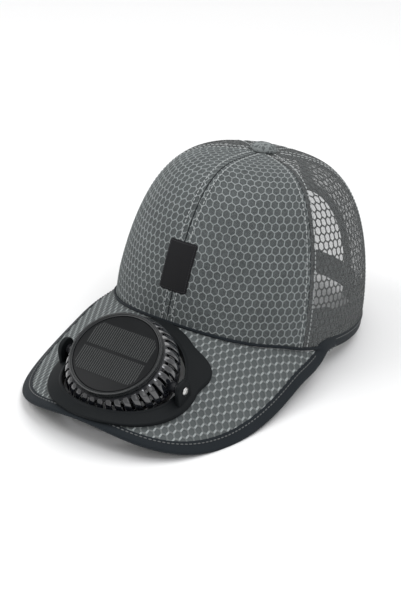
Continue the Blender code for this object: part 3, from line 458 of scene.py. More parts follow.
def crown_at(theta, up):
    """Points of the crown's middle surface."""
    theta, up = np.broadcast_arrays(np.asarray(theta, float), np.asarray(up, float))
    shrink = crown_shrink(theta, up)
    reach = np.where(np.cos(theta) >= 0, CROWN_FRONT, CROWN_BACK)
    x = CROWN_HALF_WIDTH * shrink * np.sin(theta)
    y = -reach * shrink * np.cos(theta) - CROWN_LEAN * up ** 2
    return np.stack([x, y, CROWN_HEIGHT * up ** DOME_POWER], -1)


def up_at_height(z):
    """Share of the height at this height."""
    return (np.maximum(z, 0.0) / CROWN_HEIGHT) ** (1 / DOME_POWER)


def crown_off(theta, up, out):
    """Points at a distance outwards from the crown's middle surface."""
    theta, up, out = np.broadcast_arrays(*(np.asarray(v, float) for v in (theta, up, out)))
    step = SURFACE_STEP
    rise = crown_at(theta, np.minimum(up + step, 0.9999)) - crown_at(theta, np.maximum(up - step, 0.0))
    across = crown_at(theta + step, up) - crown_at(theta - step, up)
    normal = np.cross(across, rise)
    normal /= np.linalg.norm(normal, axis=-1, keepdims=True)
    return crown_at(theta, up) + normal * out[..., None]


def spread_at(theta, up):
    """Metres across the crown for each radian of theta."""
    across = crown_at(theta + 0.01, up) - crown_at(theta - 0.01, up)
    return np.linalg.norm(across, axis=-1) / 0.02


def theta_at_x(x, up, rear):
    """Angle at a distance to the left, on the crown's front or its rear."""
    theta = np.full(np.shape(x), math.pi if rear else 0.0)
    for _ in range(12):
        part = np.arcsin(np.minimum(x / (CROWN_HALF_WIDTH * crown_shrink(theta, up)), 1.0))
        theta = math.pi - part if rear else part
    return theta


# The peak's surface

def peak_height(x, y):
    """Height of the peak's middle surface: a slope that eases, arched across."""
    rise = math.tan(PEAK_SLOPE) * (y + CROWN_FRONT)
    past = y + PEAK_EASE_START * CROWN_FRONT
    half = PEAK_EASE_SPAN / 2
    between = (past + half) ** 2 / (2 * PEAK_EASE_SPAN)
    eased = np.where(past > half, past, np.where(past > -half, between, 0.0))
    return PEAK_ROOT_HEIGHT + rise - PEAK_EASE * eased - x * x / (2 * PEAK_ARCH_RADIUS)


def peak_normal(x, y):
    step = 0.5 * MM
    dx = (peak_height(x + step, y) - peak_height(x - step, y)) / (2 * step)
    dy = (peak_height(x, y + step) - peak_height(x, y - step)) / (2 * step)
    normal = np.stack([-dx, -dy, np.ones_like(dx)], -1)
    return normal / np.linalg.norm(normal, axis=-1, keepdims=True)


def peak_off(x, y, out):
    """Points at a distance above the peak's middle surface."""
    x, y, out = np.broadcast_arrays(*(np.asarray(v, float) for v in (x, y, out)))
    return np.stack([x, y, peak_height(x, y)], -1) + peak_normal(x, y) * out[..., None]


def peak_outline():
    """Plan of the peak's outer edge, right half, from its root corner forwards."""
    rim = crown_at(PEAK_CORNER_ANGLE, 0.0)
    corner = (rim[0] + PEAK_CORNER_OUT, rim[1])
    widest_y = -PEAK_WIDEST * CROWN_FRONT
    share = np.arange(24) / 24
    ease = 1 - (1 - share) ** (1 / PEAK_SIDE_EASE)
    root = np.stack([corner[0] + (PEAK_HALF_WIDTH - corner[0]) * ease,
                     corner[1] + (widest_y - corner[1]) * share], -1)
    angle = np.linspace(0, math.pi / 2, 121)
    power = 2 / PEAK_OUTLINE_POWER
    x = PEAK_HALF_WIDTH * np.maximum(np.cos(angle), 0.0) ** power
    y = widest_y - (CROWN_FRONT + PEAK_REACH + widest_y) * np.sin(angle) ** power
    x[-1] = 0.0
    return np.concatenate([root, np.stack([x, y], -1)])


def outside_crown(points):
    return (points[:, 0] / CROWN_HALF_WIDTH) ** 2 + (points[:, 1] / CROWN_FRONT) ** 2 >= 1


def inset_outline(distance):
    """The peak's outer edge moved inwards, ending where it meets the crown."""
    line = peak_outline()
    after = np.concatenate([line[1:], [[-line[-2][0], line[-2][1]]]])
    before = np.concatenate([line[:1], line[:-1]])
    along = after - before
    along /= np.linalg.norm(along, axis=1, keepdims=True)
    moved = line + np.stack([along[:, 1], -along[:, 0]], -1) * distance
    first = int(np.argmax(outside_crown(moved)))
    if first:
        shares = np.linspace(0, 1, 200)[:, None]
        steps = moved[first - 1] + (moved[first] - moved[first - 1]) * shares
        edge = steps[int(np.argmax(outside_crown(steps)))]
        moved = np.concatenate([[edge], moved[first:]])
    return moved


def even_line(line, count):
    """The line again, at even steps of its length."""
    line = np.asarray(line, float)
    length = np.concatenate([[0.0], np.cumsum(np.linalg.norm(np.diff(line, axis=0), axis=1))])
    goal = np.linspace(0, length[-1], count + 1)
    return np.stack([np.interp(goal, length, line[:, k]) for k in range(line.shape[1])], -1)


def full_turn(count):
    """Even angles round a circle."""
    return np.linspace(0, 2 * math.pi, count, endpoint=False)


def both_sides(points):
    return np.concatenate([points, points[-2::-1] * (-1, 1)])


# Levels that the crown's lower pieces share

def peak_top(x, y, thick):
    return peak_height(x, y) + thick / 2 / peak_normal(x, y)[..., 2]


def rim_low(theta):
    """Height of the crown's lower edge: it stands on the peak, then runs free."""
    angle = np.abs(theta)
    free = np.where(np.cos(angle) < 0, BACK_EDGE_RISE * np.cos(angle) ** 2, 0.0)
    on_peak = np.minimum(angle, PEAK_CORNER_ANGLE)
    rim = crown_at(on_peak, 0.0)
    bound = np.clip((on_peak - SLAB_END_ANGLE) / (TAPE_RAMP[0] - SLAB_END_ANGLE), 0, 1)
    thick = PEAK_THICK + (PEAK_BINDING_THICK - PEAK_THICK) * bound
    seat = peak_top(rim[..., 0], rim[..., 1], thick) + GAP
    share = smooth((angle - PEAK_CORNER_ANGLE) / (TAPE_RAMP[1] - PEAK_CORNER_ANGLE))
    return seat + (free - seat) * share


def tape_top(theta):
    ramp = np.clip((np.abs(theta) - TAPE_RAMP[0]) / (TAPE_RAMP[1] - TAPE_RAMP[0]), 0, 1)
    return rim_low(theta) + RIM_TAPE * ramp


def cloth_low(theta):
    """Lower edge of a panel's cloth, which ends inside the folded rim tape."""
    return rim_low(theta) + CLOTH_TUCK * (tape_top(theta) - rim_low(theta))


# Mesh building

class Shape:
    """Vertices, faces and cloth coordinates of one piece, in the hat's or the fan's own frame."""

    def __init__(self):
        self.verts = []
        self.faces = []
        self.flat = []

    def add(self, verts, faces, flat=None):
        base = len(self.verts)
        self.verts.extend(tuple(v) for v in np.asarray(verts, float).reshape(-1, 3))
        self.faces.extend(tuple(base + k for k in face) for face in faces)
        self.flat.extend(flat if flat is not None else [[(0.0, 0.0)] * len(face) for face in faces])
        return self

    def loops(self, loops, closed=False):
        """Tube through a row of closed loops, with capped ends if it isn't closed."""
        loops = np.asarray(loops, float)
        count, size = loops.shape[:2]
        middle = loops.mean(axis=1)
        ends = np.concatenate([middle, middle[:1]])
        along = np.concatenate([[0.0], np.cumsum(np.linalg.norm(np.diff(ends, axis=0), axis=1))])
        ring = np.concatenate([loops[0], loops[0][:1]])
        around = np.concatenate([[0.0], np.cumsum(np.linalg.norm(np.diff(ring, axis=0), axis=1))])
        faces, flat = [], []
        for i in range(count if closed else count - 1):
            j = (i + 1) % count
            for k in range(size):
                m = (k + 1) % size
                faces.append((i * size + k, i * size + m, j * size + m, j * size + k))
                flat.append([(along[i], around[k]), (along[i], around[k + 1]),
                             (along[i + 1], around[k + 1]), (along[i + 1], around[k])])
        if not closed:
            for i, order in ((0, range(size - 1, -1, -1)), (count - 1, range(size))):
                faces.append(tuple(i * size + k for k in order))
                flat.append([(along[i], around[k]) for k in order])
        return self.add(loops, faces, flat)

    def slab(self, outer, inner, flat):
        """Closed plate between two grids of points; flat gives each point's place on the cloth."""
        rows, columns = outer.shape[:2]
        back = rows * columns
        places = np.asarray(flat, float).reshape(-1, 2)
        faces = []
        for j in range(rows - 1):
            for i in range(columns - 1):
                a = j * columns + i
                quad = (a, a + 1, a + columns + 1, a + columns)
                faces.append(quad)
                faces.append(tuple(back + k for k in reversed(quad)))
        rim = list(range(columns)) + [j * columns + columns - 1 for j in range(1, rows)]
        rim += [(rows - 1) * columns + i for i in reversed(range(columns - 1))]
        rim += [j * columns for j in reversed(range(1, rows - 1))]
        for a, b in zip(rim, rim[1:] + rim[:1]):
            faces.append((b, a, back + a, back + b))
        verts = np.concatenate([outer.reshape(-1, 3), inner.reshape(-1, 3)])
        return self.add(verts, faces, [[tuple(places[k % back]) for k in face] for face in faces])

    def turned(self, profile, segments):
        """Solid of revolution about Z; a profile that starts on the axis also ends on it."""
        angles = np.arange(segments) * 2 * math.pi / segments
        if profile[0][0] > 0:
            loops = [[(r * math.cos(a), r * math.sin(a), h) for r, h in profile] for a in angles]
            return self.loops(loops, closed=True)
        inner = profile[1:-1]
        verts = [(0, 0, profile[0][1]), (0, 0, profile[-1][1])]
        verts += [(r * math.cos(a), r * math.sin(a), h) for a in angles for r, h in inner]
        size = len(inner)
        faces = []
        for i in range(segments):
            here, there = 2 + i * size, 2 + ((i + 1) % segments) * size
            faces.append((0, there, here))
            faces.append((1, here + size - 1, there + size - 1))
            for k in range(size - 1):
                faces.append((here + k, there + k, there + k + 1, here + k + 1))
        return self.add(verts, faces)

    def mesh(self):
        mesh = bpy.data.meshes.new("shape")
        mesh.from_pydata(self.verts, [], self.faces)
        layer = mesh.uv_layers.new(name="cloth")
        flat = np.array([place for face in self.flat for place in face], float) * UV_PER_METRE
        layer.data.foreach_set("uv", flat.ravel())
        work = bmesh.new()
        work.from_mesh(mesh)
        bmesh.ops.recalc_face_normals(work, faces=work.faces)
        work.to_mesh(mesh)
        work.free()
        return mesh


def rounded(points, radius, steps=4, closed=True):
    """Outline with each corner replaced by a small curve."""
    points = [np.asarray(p, float) for p in points]
    count = len(points)
    made = []
    for k, corner in enumerate(points):
        if not closed and k in (0, count - 1):
            made.append(tuple(corner))
            continue
        before, after = points[k - 1] - corner, points[(k + 1) % count] - corner
        reach = min(radius, 0.45 * np.linalg.norm(before), 0.45 * np.linalg.norm(after))
        start = corner + before / np.linalg.norm(before) * reach
        end = corner + after / np.linalg.norm(after) * reach
        for t in np.linspace(0, 1, steps):
            made.append(tuple(start * (1 - t) ** 2 + corner * 2 * t * (1 - t) + end * t * t))
    return made


def settle(name, shape, place, material, slot, *nodes):
    """Put a shape or mesh in the row frame as a piece on a body, in the stead of the nodes named."""
    mesh = shape.mesh() if isinstance(shape, Shape) else shape
    matrix, body = place
    mesh.transform(matrix)
    for vert in mesh.vertices:
        vert.co.z = max(vert.co.z, 0.0)
    mesh.name = name
    mesh.materials.clear()
    for one in material if isinstance(material, tuple) else (material,):
        mesh.materials.append(one)
    mesh.shade_smooth()
    mesh.set_sharp_from_angle(angle=SHARP_ANGLE)
    piece = linked(name, mesh)
    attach(piece, body)
    if nodes:
        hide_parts(*nodes)
    return piece


def both_hands(shape):
    """The wearer's right and left mesh of a shape made for the left."""
    left = shape.mesh()
    right = left.copy()
    right.transform(Matrix.Diagonal((-1, 1, 1, 1)))
    right.flip_normals()
    return ("right", right), ("left", left)


def joined(meshes):
    """One mesh out of several, with their cloth coordinates."""
    work = bmesh.new()
    for mesh in meshes:
        work.from_mesh(mesh)
    whole = bpy.data.meshes.new("joined")
    work.to_mesh(whole)
    work.free()
    return whole


def stitched(lines, look, material, pitch=None, length=None, width=None):
    """Stitches along lines of points, of the cap's own size unless another is given."""
    verts, edges = [], []
    for line in lines:
        base = len(verts)
        verts.extend(tuple(p) for p in line)
        edges.extend((base + k, base + k + 1) for k in range(len(line) - 1))
    seed = bpy.data.meshes.new("thread line")
    seed.from_pydata(verts, edges, [])
    return grow(stitch_tree(), {
        "Pitch": pitch or look.stitch_pitch, "Length": length or look.stitch_length,
        "Thread": width or look.thread_width, "Material": material}, seed)


def sew(name, lines, look, thread_name, factors, slot):
    """Stitches of the cap's own size and thread, as a piece."""
    yarn = thread(thread_name, look.thread_colour, factors)
    settle(name, stitched(lines, look, yarn), ON_CAP, yarn, slot)


# Crown panels

class Panel:
    """One crown panel and its flat cut: across from its middle line, up from the rim."""

    def __init__(self, start, end, slits):
        self.middle = (start + end) / 2
        self.half = (end - start) / 2
        self.slits = slits
        self.ups = up_at_shrink(self.middle, np.cos(np.linspace(0, math.acos(CROWN_EYE), 500)))
        line = crown_at(self.middle, self.ups)
        steps = np.linalg.norm(np.diff(line, axis=0), axis=1)
        self.lengths = np.concatenate([[0.0], np.cumsum(steps)])

    def flat(self, theta, up):
        across = (theta - self.middle) * spread_at(self.middle, up)
        return np.stack([across, np.interp(up, self.ups, self.lengths)], -1)

    def limit(self, up, end):
        """Half of the panel's angle, less the slit at its first or second seam."""
        return np.maximum(self.half - self.slits[end] / spread_at(self.middle, up), 0.02)

    def out(self, theta, up):
        """How far the cloth stands out: it fills between its seams."""
        share = np.clip(np.abs(theta - self.middle) / self.half, 0, 1)
        rise = CROWN_HEIGHT * up ** DOME_POWER - rim_low(theta)
        return 0.2 * MM + PANEL_PUFF * (1 - share ** 4) * smooth(rise / (20 * MM))

    def cloth(self, thick):
        """Backing cloth of the whole panel, this thick."""
        share = np.linspace(-1, 1, 33)[None, :]
        theta = self.middle + share * self.half
        low = np.arccos(crown_shrink(theta, up_at_height(cloth_low(theta))))
        turn = low + (math.acos(CROWN_EYE) - low) * np.linspace(0, 1, 61)[:, None]
        up = up_at_shrink(theta, np.cos(turn))
        limit = np.where(share < 0, self.limit(up, 0), self.limit(up, 1))
        theta = self.middle + share * limit
        out = self.out(theta, up)
        inner = crown_off(theta, up, out - thick)
        return Shape().slab(crown_off(theta, up, out), inner, self.flat(theta, up))

    def net(self, stretch, pitch, hole, lift, opening=False):
        """Hexagon net wrapped on the panel and cut at its seams, rim and rear opening."""
        tall = self.lengths[-1]
        sheet, points = flat_net(2 * self.half * spread_at(self.middle, 0.0), tall, pitch, stretch, hole, 6)
        points[:, 1] += tall / 2
        flat = points[:, :2].copy()
        up = np.interp(points[:, 1], self.lengths, self.ups)
        turn = points[:, 0] / spread_at(self.middle, up)
        first, second = -self.limit(up, 0), self.limit(up, 1)
        cut = {"first seam": turn < first, "second seam": turn > second, "top": points[:, 1] > tall}
        theta = self.middle + np.clip(turn, first, second)
        low = up_at_height(cloth_low(theta))
        cut["rim"] = up < low
        up = np.maximum(up, low)
        if opening:
            wide = ARCH_HALF_WIDTH + NET_TUCK * ARCH_TAPE
            high = ARCH_HEIGHT + NET_TUCK * ARCH_TAPE
            spot = crown_at(theta, up)
            ring = np.sqrt((spot[:, 0] / wide) ** 2 + (spot[:, 2] / high) ** 2)
            cut["opening"] = ring < 1
            scale = 1 / np.clip(ring, 0.05, 1.0)
            up = np.where(cut["opening"], up_at_height(spot[:, 2] * scale), up)
            theta = np.where(cut["opening"], theta_at_x(spot[:, 0] * scale, up, True), theta)
        wrapped = crown_off(theta, up, self.out(theta, up) + lift + points[:, 2])
        return wrapped_net(sheet, wrapped, flat, cut)


def flat_net(wide, tall, pitch, stretch, hole, spare):
    """Flat sheet of net over a size, with spare columns, and its points."""
    row = pitch * stretch
    sheet = grow(net_tree(), {
        "Columns": int(wide / pitch) + spare, "Rows": int(tall / row) + 3, "Pitch": pitch,
        "Row pitch": row, "Hole share": hole, "Thickness": NET_THICK})
    return sheet, np.array([v.co for v in sheet.vertices])


def wrapped_net(sheet, wrapped, flat, cut):
    """The net on its surface, without the faces that lie wholly beyond a cut."""
    faces = [tuple(p.vertices) for p in sheet.polygons]
    corners = np.array(faces)
    gone = np.zeros(len(faces), bool)
    for beyond in cut.values():
        gone |= beyond[corners].all(axis=1)
    kept = [face for face, drop in zip(faces, gone) if not drop]
    used = sorted({k for face in kept for k in face})
    place = {k: n for n, k in enumerate(used)}
    shape = Shape()
    faces = [tuple(place[k] for k in face) for face in kept]
    shape.add(wrapped[used], faces, [[tuple(flat[k]) for k in face] for face in kept])
    bpy.data.meshes.remove(sheet)
    return shape


PANELS = {
    "front": Panel(0.0, SIDE_SEAM, (FRONT_SLIT, SEAM_SLIT)),
    "side": Panel(SIDE_SEAM, REAR_SEAM, (SEAM_SLIT, SEAM_SLIT)),
    "rear": Panel(REAR_SEAM, math.pi, (SEAM_SLIT, SEAM_SLIT)),
}


def seam_offset(theta, up, distance):
    """Angle that is this far from a seam, less where the seams close in on the button."""
    return np.minimum(distance / spread_at(theta, up), 0.3)


def seam_ups(theta, low, shrink):
    """Steps up a seam, from a height to where the crown has shrunk to this share."""
    start = math.acos(float(crown_shrink(theta, up_at_height(low))))
    return up_at_shrink(theta, np.cos(np.linspace(start, math.acos(shrink), 70)))


def seam_starts():
    """Each seam's angle, its lowest height and the panels on its two sides."""
    arch_top = ARCH_HEIGHT + ARCH_TAPE * 0.6
    return [
        {"theta": 0.0, "low": float(cloth_low(0.0)), "panels": ("front",)},
        {"theta": SIDE_SEAM, "low": float(cloth_low(SIDE_SEAM)), "panels": ("front", "side")},
        {"theta": REAR_SEAM, "low": float(cloth_low(REAR_SEAM)), "panels": ("side", "rear")},
        {"theta": math.pi, "low": arch_top, "panels": ("rear",)},
    ]


def seam_tape_and_shade_shape():
    """Tape inside each seam, seen through the slit between the panels as a dark line: the tape is real, and
    its dark line there is painted shade for the seam's groove.
    """
    shape = Shape()
    for seam in seam_starts():
        for hand in (1, -1):
            if hand < 0 and seam["theta"] in (0.0, math.pi):
                continue
            up = seam_ups(seam["theta"], seam["low"], 0.07)
            turn = seam_offset(seam["theta"], up, SEAM_TAPE_HALF)
            off = turn[:, None] * np.linspace(-1, 1, 5)
            grid = up[:, None] + 0 * off
            outer, inner = (crown_off(seam["theta"] + off, grid, out) * (hand, 1, 1) for out in SEAM_TAPE_OUT)
            shape.slab(outer, inner, np.stack([off * 0.05, grid * CROWN_HEIGHT], -1))
    return shape


def topstitch_lines():
    """Lines of topstitching beside the seams, on the outside of the cloth."""
    lines = []
    for seam in seam_starts():
        up = seam_ups(seam["theta"], seam["low"] + 2 * MM, 0.14)
        for side in (1, -1):
            theta = seam["theta"] + side * seam_offset(seam["theta"], up, TOPSTITCH)
            panel = PANELS[seam["panels"][-1] if side > 0 else seam["panels"][0]]
            mirror = np.where(theta > math.pi, 2 * math.pi - theta, np.abs(theta))
            line = crown_off(mirror, up, panel.out(mirror, up) + NET_THICK + 0.15 * MM)
            lines.append(line)
            lines.append(line * (-1, 1, 1))
            if seam["theta"] in (0.0, math.pi):
                break
    return lines


# Tapes, strap, band, label and button

TAPE_PROFILE = [
    (0.0, 0.0), (0.03, 0.55), (0.1, 0.9), (0.22, 1.0), (0.55, 0.98), (0.8, 1.0), (0.95, 0.92), (1.0, 0.5),
]


def profile_loop():
    """Closed loop across a folded tape: share of its width, and offset as a share of half its thickness."""
    return TAPE_PROFILE + [(share, -off) for share, off in reversed(TAPE_PROFILE[1:])]


def rim_pairs():
    """Lower and upper edge of the rim tape, round the left side and over the rear opening."""
    def corner(half_width, height, level):
        theta, up = np.array(math.pi), np.array(0.0)
        for _ in range(12):
            z = level(theta)
            up = up_at_height(z)
            theta = theta_at_x(half_width * np.sqrt(np.maximum(1 - (z / height) ** 2, 0.0)), up, True)
        return float(theta), float(up)

    outer_width, outer_height = ARCH_HALF_WIDTH + ARCH_TAPE, ARCH_HEIGHT + ARCH_TAPE
    low_end = corner(ARCH_HALF_WIDTH, ARCH_HEIGHT, rim_low)
    high_end = corner(outer_width, outer_height, tape_top)
    pairs = []
    for theta in np.linspace(TAPE_START, high_end[0] - 2.5 * DEG, 70):
        low, high = (float(up_at_height(level(theta))) for level in (rim_low, tape_top))
        pairs.append((theta, low, theta, high))
    pairs.append((*low_end, *high_end))
    for turn in np.linspace(84 * DEG, 0.0, 42):
        ends = []
        for wide, high in ((ARCH_HALF_WIDTH, ARCH_HEIGHT), (outer_width, outer_height)):
            up = float(up_at_height(high * math.cos(turn)))
            ends += [float(theta_at_x(np.array(wide * math.sin(turn)), up, True)), up]
        pairs.append(tuple(ends))
    return np.array(pairs)


def along_tape(pairs, share, out):
    """Line on the rim tape at a share of its width."""
    theta = pairs[:, 0] + (pairs[:, 2] - pairs[:, 0]) * share
    up = pairs[:, 1] + (pairs[:, 3] - pairs[:, 1]) * share
    return crown_off(theta, up, out)


def whole_line(right):
    """A line on the left side, carried over the middle to the right side."""
    return np.concatenate([right, right[-2::-1] * (-1, 1, 1)])


def rim_tape_shape():
    """Folded tape round the rim, and the dark cord where the crown is sewn to the peak, which is painted
    shadow of that seam.
    """
    pairs = rim_pairs()
    pairs = pairs[pairs[:, 0] > RIBBON_END - RIBBON_LAP]
    lines = [whole_line(along_tape(pairs, share, off * TAPE_THICK / 2)) for share, off in profile_loop()]
    shape = Shape().loops(np.stack(lines, axis=1))
    # Dark cord along the crown's lower edge: painted shadow where the crown meets the peak
    theta = np.linspace(-SHADOW_CORD_END, SHADOW_CORD_END, 121)
    up = up_at_height(rim_low(theta) + 0.2 * MM)
    shadow_cord = [crown_off(theta, up, (1 + math.cos(a)) * SHADOW_CORD_RADIUS) + (0, 0, 1.1 * SHADOW_CORD_RADIUS * math.sin(a))
            for a in full_turn(8)]
    return shape.loops(np.stack(shadow_cord, axis=1))


def peak_edges():
    """Outer and inner edge of the peak's tape, in plan."""
    return [both_sides(even_line(line, 90)) for line in (peak_outline(), inset_outline(PEAK_BINDING))]


def corner_ribbon(outer, inner):
    """Outer edge, inner edge, outward turn and thickness where the peak's tape climbs on to the rim tape."""
    theta = np.linspace(RIBBON_END, RIBBON_START, RIBBON_STEPS)
    share = np.linspace(0, 1, RIBBON_STEPS)[:, None]
    start = crown_off(RIBBON_END, up_at_height(rim_low(np.array(RIBBON_END))), 0.0)
    end, before = (peak_off(*outer[k], 0.0) for k in (0, 1))
    pull = np.linalg.norm(end - start)
    lean = (before - end) / np.linalg.norm(before - end) * pull
    away = np.array([0.0, -pull, 0.0])
    low = ((1 + 2 * share) * (1 - share) ** 2 * start + share * (1 - share) ** 2 * away
           + share ** 2 * (3 - 2 * share) * end + share ** 2 * (share - 1) * lean)
    top = up_at_height(tape_top(theta))
    high = crown_off(theta, top, 0.0)
    wall = crown_off(theta, top, 1.0) - high
    high = high + (peak_off(*inner[0], 0.0) - high) * smooth((share - RIBBON_BLEND) / (1 - RIBBON_BLEND))
    turn = wall + (peak_normal(*outer[0]) - wall) * smooth(share)
    turn /= np.linalg.norm(turn, axis=1, keepdims=True)
    thick = TAPE_THICK + CORNER_SWELL
    return low, high, turn, thick + (PEAK_BINDING_THICK - thick) * share


def peak_tape_shape():
    """Folded tape round the peak, whose ends climb on to the rim tape."""
    outer, inner = peak_edges()
    low, high, turn, thick = corner_ribbon(outer, inner)
    lines = []
    for share, off in profile_loop():
        spot = outer + (inner - outer) * share
        ribbon = low + (high - low) * share + turn * off * thick / 2
        middle = peak_off(spot[:, 0], spot[:, 1], off * PEAK_BINDING_THICK / 2)
        lines.append(np.concatenate([ribbon[:-1], middle, ribbon[-2::-1] * (-1, 1, 1)]))
    return Shape().loops(np.stack(lines, axis=1))


def tape_stitch_lines():
    """Stitching near the inner edge of the rim tape and of the peak's tape."""
    pairs = rim_pairs()
    pairs = pairs[pairs[:, 0] > RIBBON_END]
    lines = [whole_line(along_tape(pairs, RIM_STITCH, TAPE_THICK / 2 + STITCH_LIFT))]
    outer, inner = peak_edges()
    spot = outer + (inner - outer) * PEAK_STITCH
    for side in (1, -1):
        line = peak_off(spot[:, 0], spot[:, 1], side * (PEAK_BINDING_THICK / 2 + STITCH_LIFT))
        lines.append(line[3:-3])
    return lines


def crown_strip(low, high, angles, out, thick, rows=7):
    """Strip that follows the crown between two levels, with softened edges."""
    share = np.linspace(0, 1, rows)[:, None]
    z = low + (high - low) * share
    theta = angles + 0 * z
    half = thick / 2 * (0.5 + 0.5 * np.sin(share * math.pi) ** 0.5 + 0 * z)
    up = up_at_height(z)
    flat = np.stack([theta * STRIP_REACH, z], -1)
    return Shape().slab(crown_off(theta, up, out + half), crown_off(theta, up, out - half), flat)


def rear_end(past_lap):
    """Angle of a strip's end, at this distance past the strap's lap on the rim tape."""
    past = np.array(ARCH_HALF_WIDTH + ARCH_TAPE + STRAP_LAP + past_lap)
    return float(theta_at_x(past, up_at_height(STRAP_LOW), True))


def strap_shape():
    """Rear strap, and its two lines of stitching."""
    end = rear_end(0.0)
    angles = np.linspace(end, 2 * math.pi - end, 61)
    out = -(TAPE_THICK / 2 + GAP + STRAP_THICK / 2)
    low, high = STRAP_LOW + 0 * angles, STRAP_LOW + STRAP_WIDTH + 0 * angles
    lines = [crown_off(angles, up_at_height(level), out + STRAP_THICK / 2 + 0.05 * MM)
             for level in (low + STRAP_SEAM, high - STRAP_SEAM)]
    return crown_strip(low, high, angles, out, STRAP_THICK), lines


def band_shape():
    """Sweatband inside the rim."""
    end = rear_end(BAND_FROM_STRAP)
    angles = np.linspace(-end, end, 181)
    out = -(TAPE_THICK / 2 + BAND_GAP + BAND_THICK / 2)
    return crown_strip(rim_low(angles) - BAND_DROP, rim_low(angles) + BAND_HEIGHT, angles, out, BAND_THICK)


def label_shape():
    """Sewn patch with rounded corners, pillowed towards its edge, and its line of stitching."""
    z = np.linspace(LABEL_LOW, LABEL_HIGH, 41)
    near = np.minimum(z - LABEL_LOW, LABEL_HIGH - z)
    cut = LABEL_CORNER - np.sqrt(np.maximum(LABEL_CORNER ** 2 - np.maximum(LABEL_CORNER - near, 0) ** 2, 0))
    x = (LABEL_WIDTH / 2 - cut)[:, None] * np.linspace(-1, 1, 25)
    height = z[:, None] + 0 * x
    up = up_at_height(height)
    theta = theta_at_x(x, up, False)
    edge = np.minimum((LABEL_WIDTH / 2 - np.abs(x)), near[:, None])
    lift = LABEL_UNDER + 0.1 * MM + LABEL_PILLOW * (0.55 + 0.45 * smooth(edge / (1.3 * MM)))
    under = crown_off(theta, up, LABEL_UNDER)
    shape = Shape().slab(crown_off(theta, up, lift), under, np.stack([x, height], -1))
    half, low, high = LABEL_WIDTH / 2 - LABEL_SEAM, LABEL_LOW + LABEL_SEAM, LABEL_HIGH - LABEL_SEAM
    plan = even_line([(-half, low), (half, low), (half, high), (-half, high), (-half, low)], 120)
    up = up_at_height(plan[:, 1])
    line = crown_off(theta_at_x(plan[:, 0], up, False), up, LABEL_UNDER + 0.12 * MM + LABEL_PILLOW)
    return shape, [line]


def button_shape():
    """Cloth-covered button with six soft pleats, and its stem."""
    base = CROWN_HEIGHT + CLOTH / 2 + GAP
    foot = base - STEM_LENGTH
    profile = [(0, foot), (STEM_RADIUS, foot), (STEM_RADIUS, base), (BUTTON_RADIUS * 0.9, base)]
    for angle in np.linspace(0.0, 0.48, 14) * math.pi:
        level = base + BUTTON_HEIGHT * (0.2 + 0.8 * math.sin(angle))
        profile.append((BUTTON_RADIUS * math.cos(angle) ** 0.7, level))
    shape = Shape().turned(profile + [(0, base + BUTTON_HEIGHT)], 72)
    for k, (x, y, z) in enumerate(shape.verts):
        pleat = 1 - PLEAT * math.cos(3 * math.atan2(y, x)) ** 8 if z > base else 1.0
        shape.verts[k] = (x * pleat, y * pleat - CROWN_LEAN, z)
    return shape


# Peak cloth

def peak_cloth_shape():
    """Covered slab of the peak, which ends inside its tape."""
    edge = both_sides(even_line(inset_outline(PEAK_BINDING - 3 * MM), 60))
    end = math.atan2(edge[0][0] / CROWN_HALF_WIDTH, -edge[0][1] / CROWN_FRONT) - 1.2 * DEG
    root = crown_at(np.linspace(end, -end, len(edge)), 0.0)[:, :2]
    share = np.linspace(0, 1, 29)[:, None, None]
    plan = root[None] + (edge - root)[None] * share
    x, y = plan[..., 0], plan[..., 1]
    return Shape().slab(peak_off(x, y, 1.0 * MM), peak_off(x, y, -1.25 * MM), plan)


def in_polygon(points, polygon):
    """Which points of the plan lie inside a closed outline."""
    inside = np.zeros(len(points), bool)
    x, y = points[:, 0], points[:, 1]
    for (ax, ay), (bx, by) in zip(polygon, np.roll(polygon, -1, axis=0)):
        if ay == by:
            continue
        inside ^= ((ay > y) != (by > y)) & (x < (bx - ax) * (y - ay) / (by - ay) + ax)
    return inside


def peak_net_shape(look):
    """Net over the peak, cut at its outline, round the fan's opening and under the crown."""
    deep = CROWN_FRONT + PEAK_REACH
    sheet, points = flat_net(2 * PEAK_HALF_WIDTH, deep, look.peak_cell, look.cell_stretch, look.peak_hole, 3)
    points[:, 1] -= deep / 2
    flat = points[:, :2].copy()
    hidden = ~in_polygon(flat, both_sides(inset_outline(1.5 * MM)))
    hub = np.array([0, SEAT_Y])
    off = (flat - hub) / (1, math.cos(PEAK_SLOPE))
    hidden |= np.linalg.norm(off, axis=1) < OPENING_RADIUS + COLLAR_WALL + 1.5 * MM
    inner = ~outside_crown(flat) & (flat[:, 1] < 0)
    ring = np.sqrt((flat[:, 0] / CROWN_HALF_WIDTH) ** 2 + (flat[:, 1] / CROWN_FRONT) ** 2)
    spot = np.where(inner[:, None], flat / np.maximum(ring, 0.05)[:, None], flat)
    faces = np.array([tuple(p.vertices) for p in sheet.polygons])
    beyond = hidden[faces].any(axis=1) & ~inner[faces].any(axis=1)
    gone = np.zeros(len(points), bool)
    gone[faces[beyond].ravel()] = True
    wrapped = peak_off(spot[:, 0], spot[:, 1], points[:, 2] + 1.0 * MM)
    return wrapped_net(sheet, wrapped, flat, {"crown": inner | (flat[:, 1] > -10 * MM), "edge": gone})


def paint_glint_strands(mesh):
    """Give the strands of one slant the second material, a lighter copy of the net's colour: a painted glint.
    """
    layer = np.zeros(len(mesh.loops) * 2)
    mesh.uv_layers["cloth"].data.foreach_get("uv", layer)
    layer = layer.reshape(-1, 4, 2)
    edges = np.roll(layer, -1, axis=1) - layer
    length = np.linalg.norm(edges, axis=2)
    longest = edges[np.arange(len(edges)), length.argmax(axis=1)]
    slant = np.degrees(np.arctan2(longest[:, 1], longest[:, 0])) % 180
    mesh.polygons.foreach_set("material_index", (np.abs(slant - GLINT_SLANT) < 15).astype(np.int32))


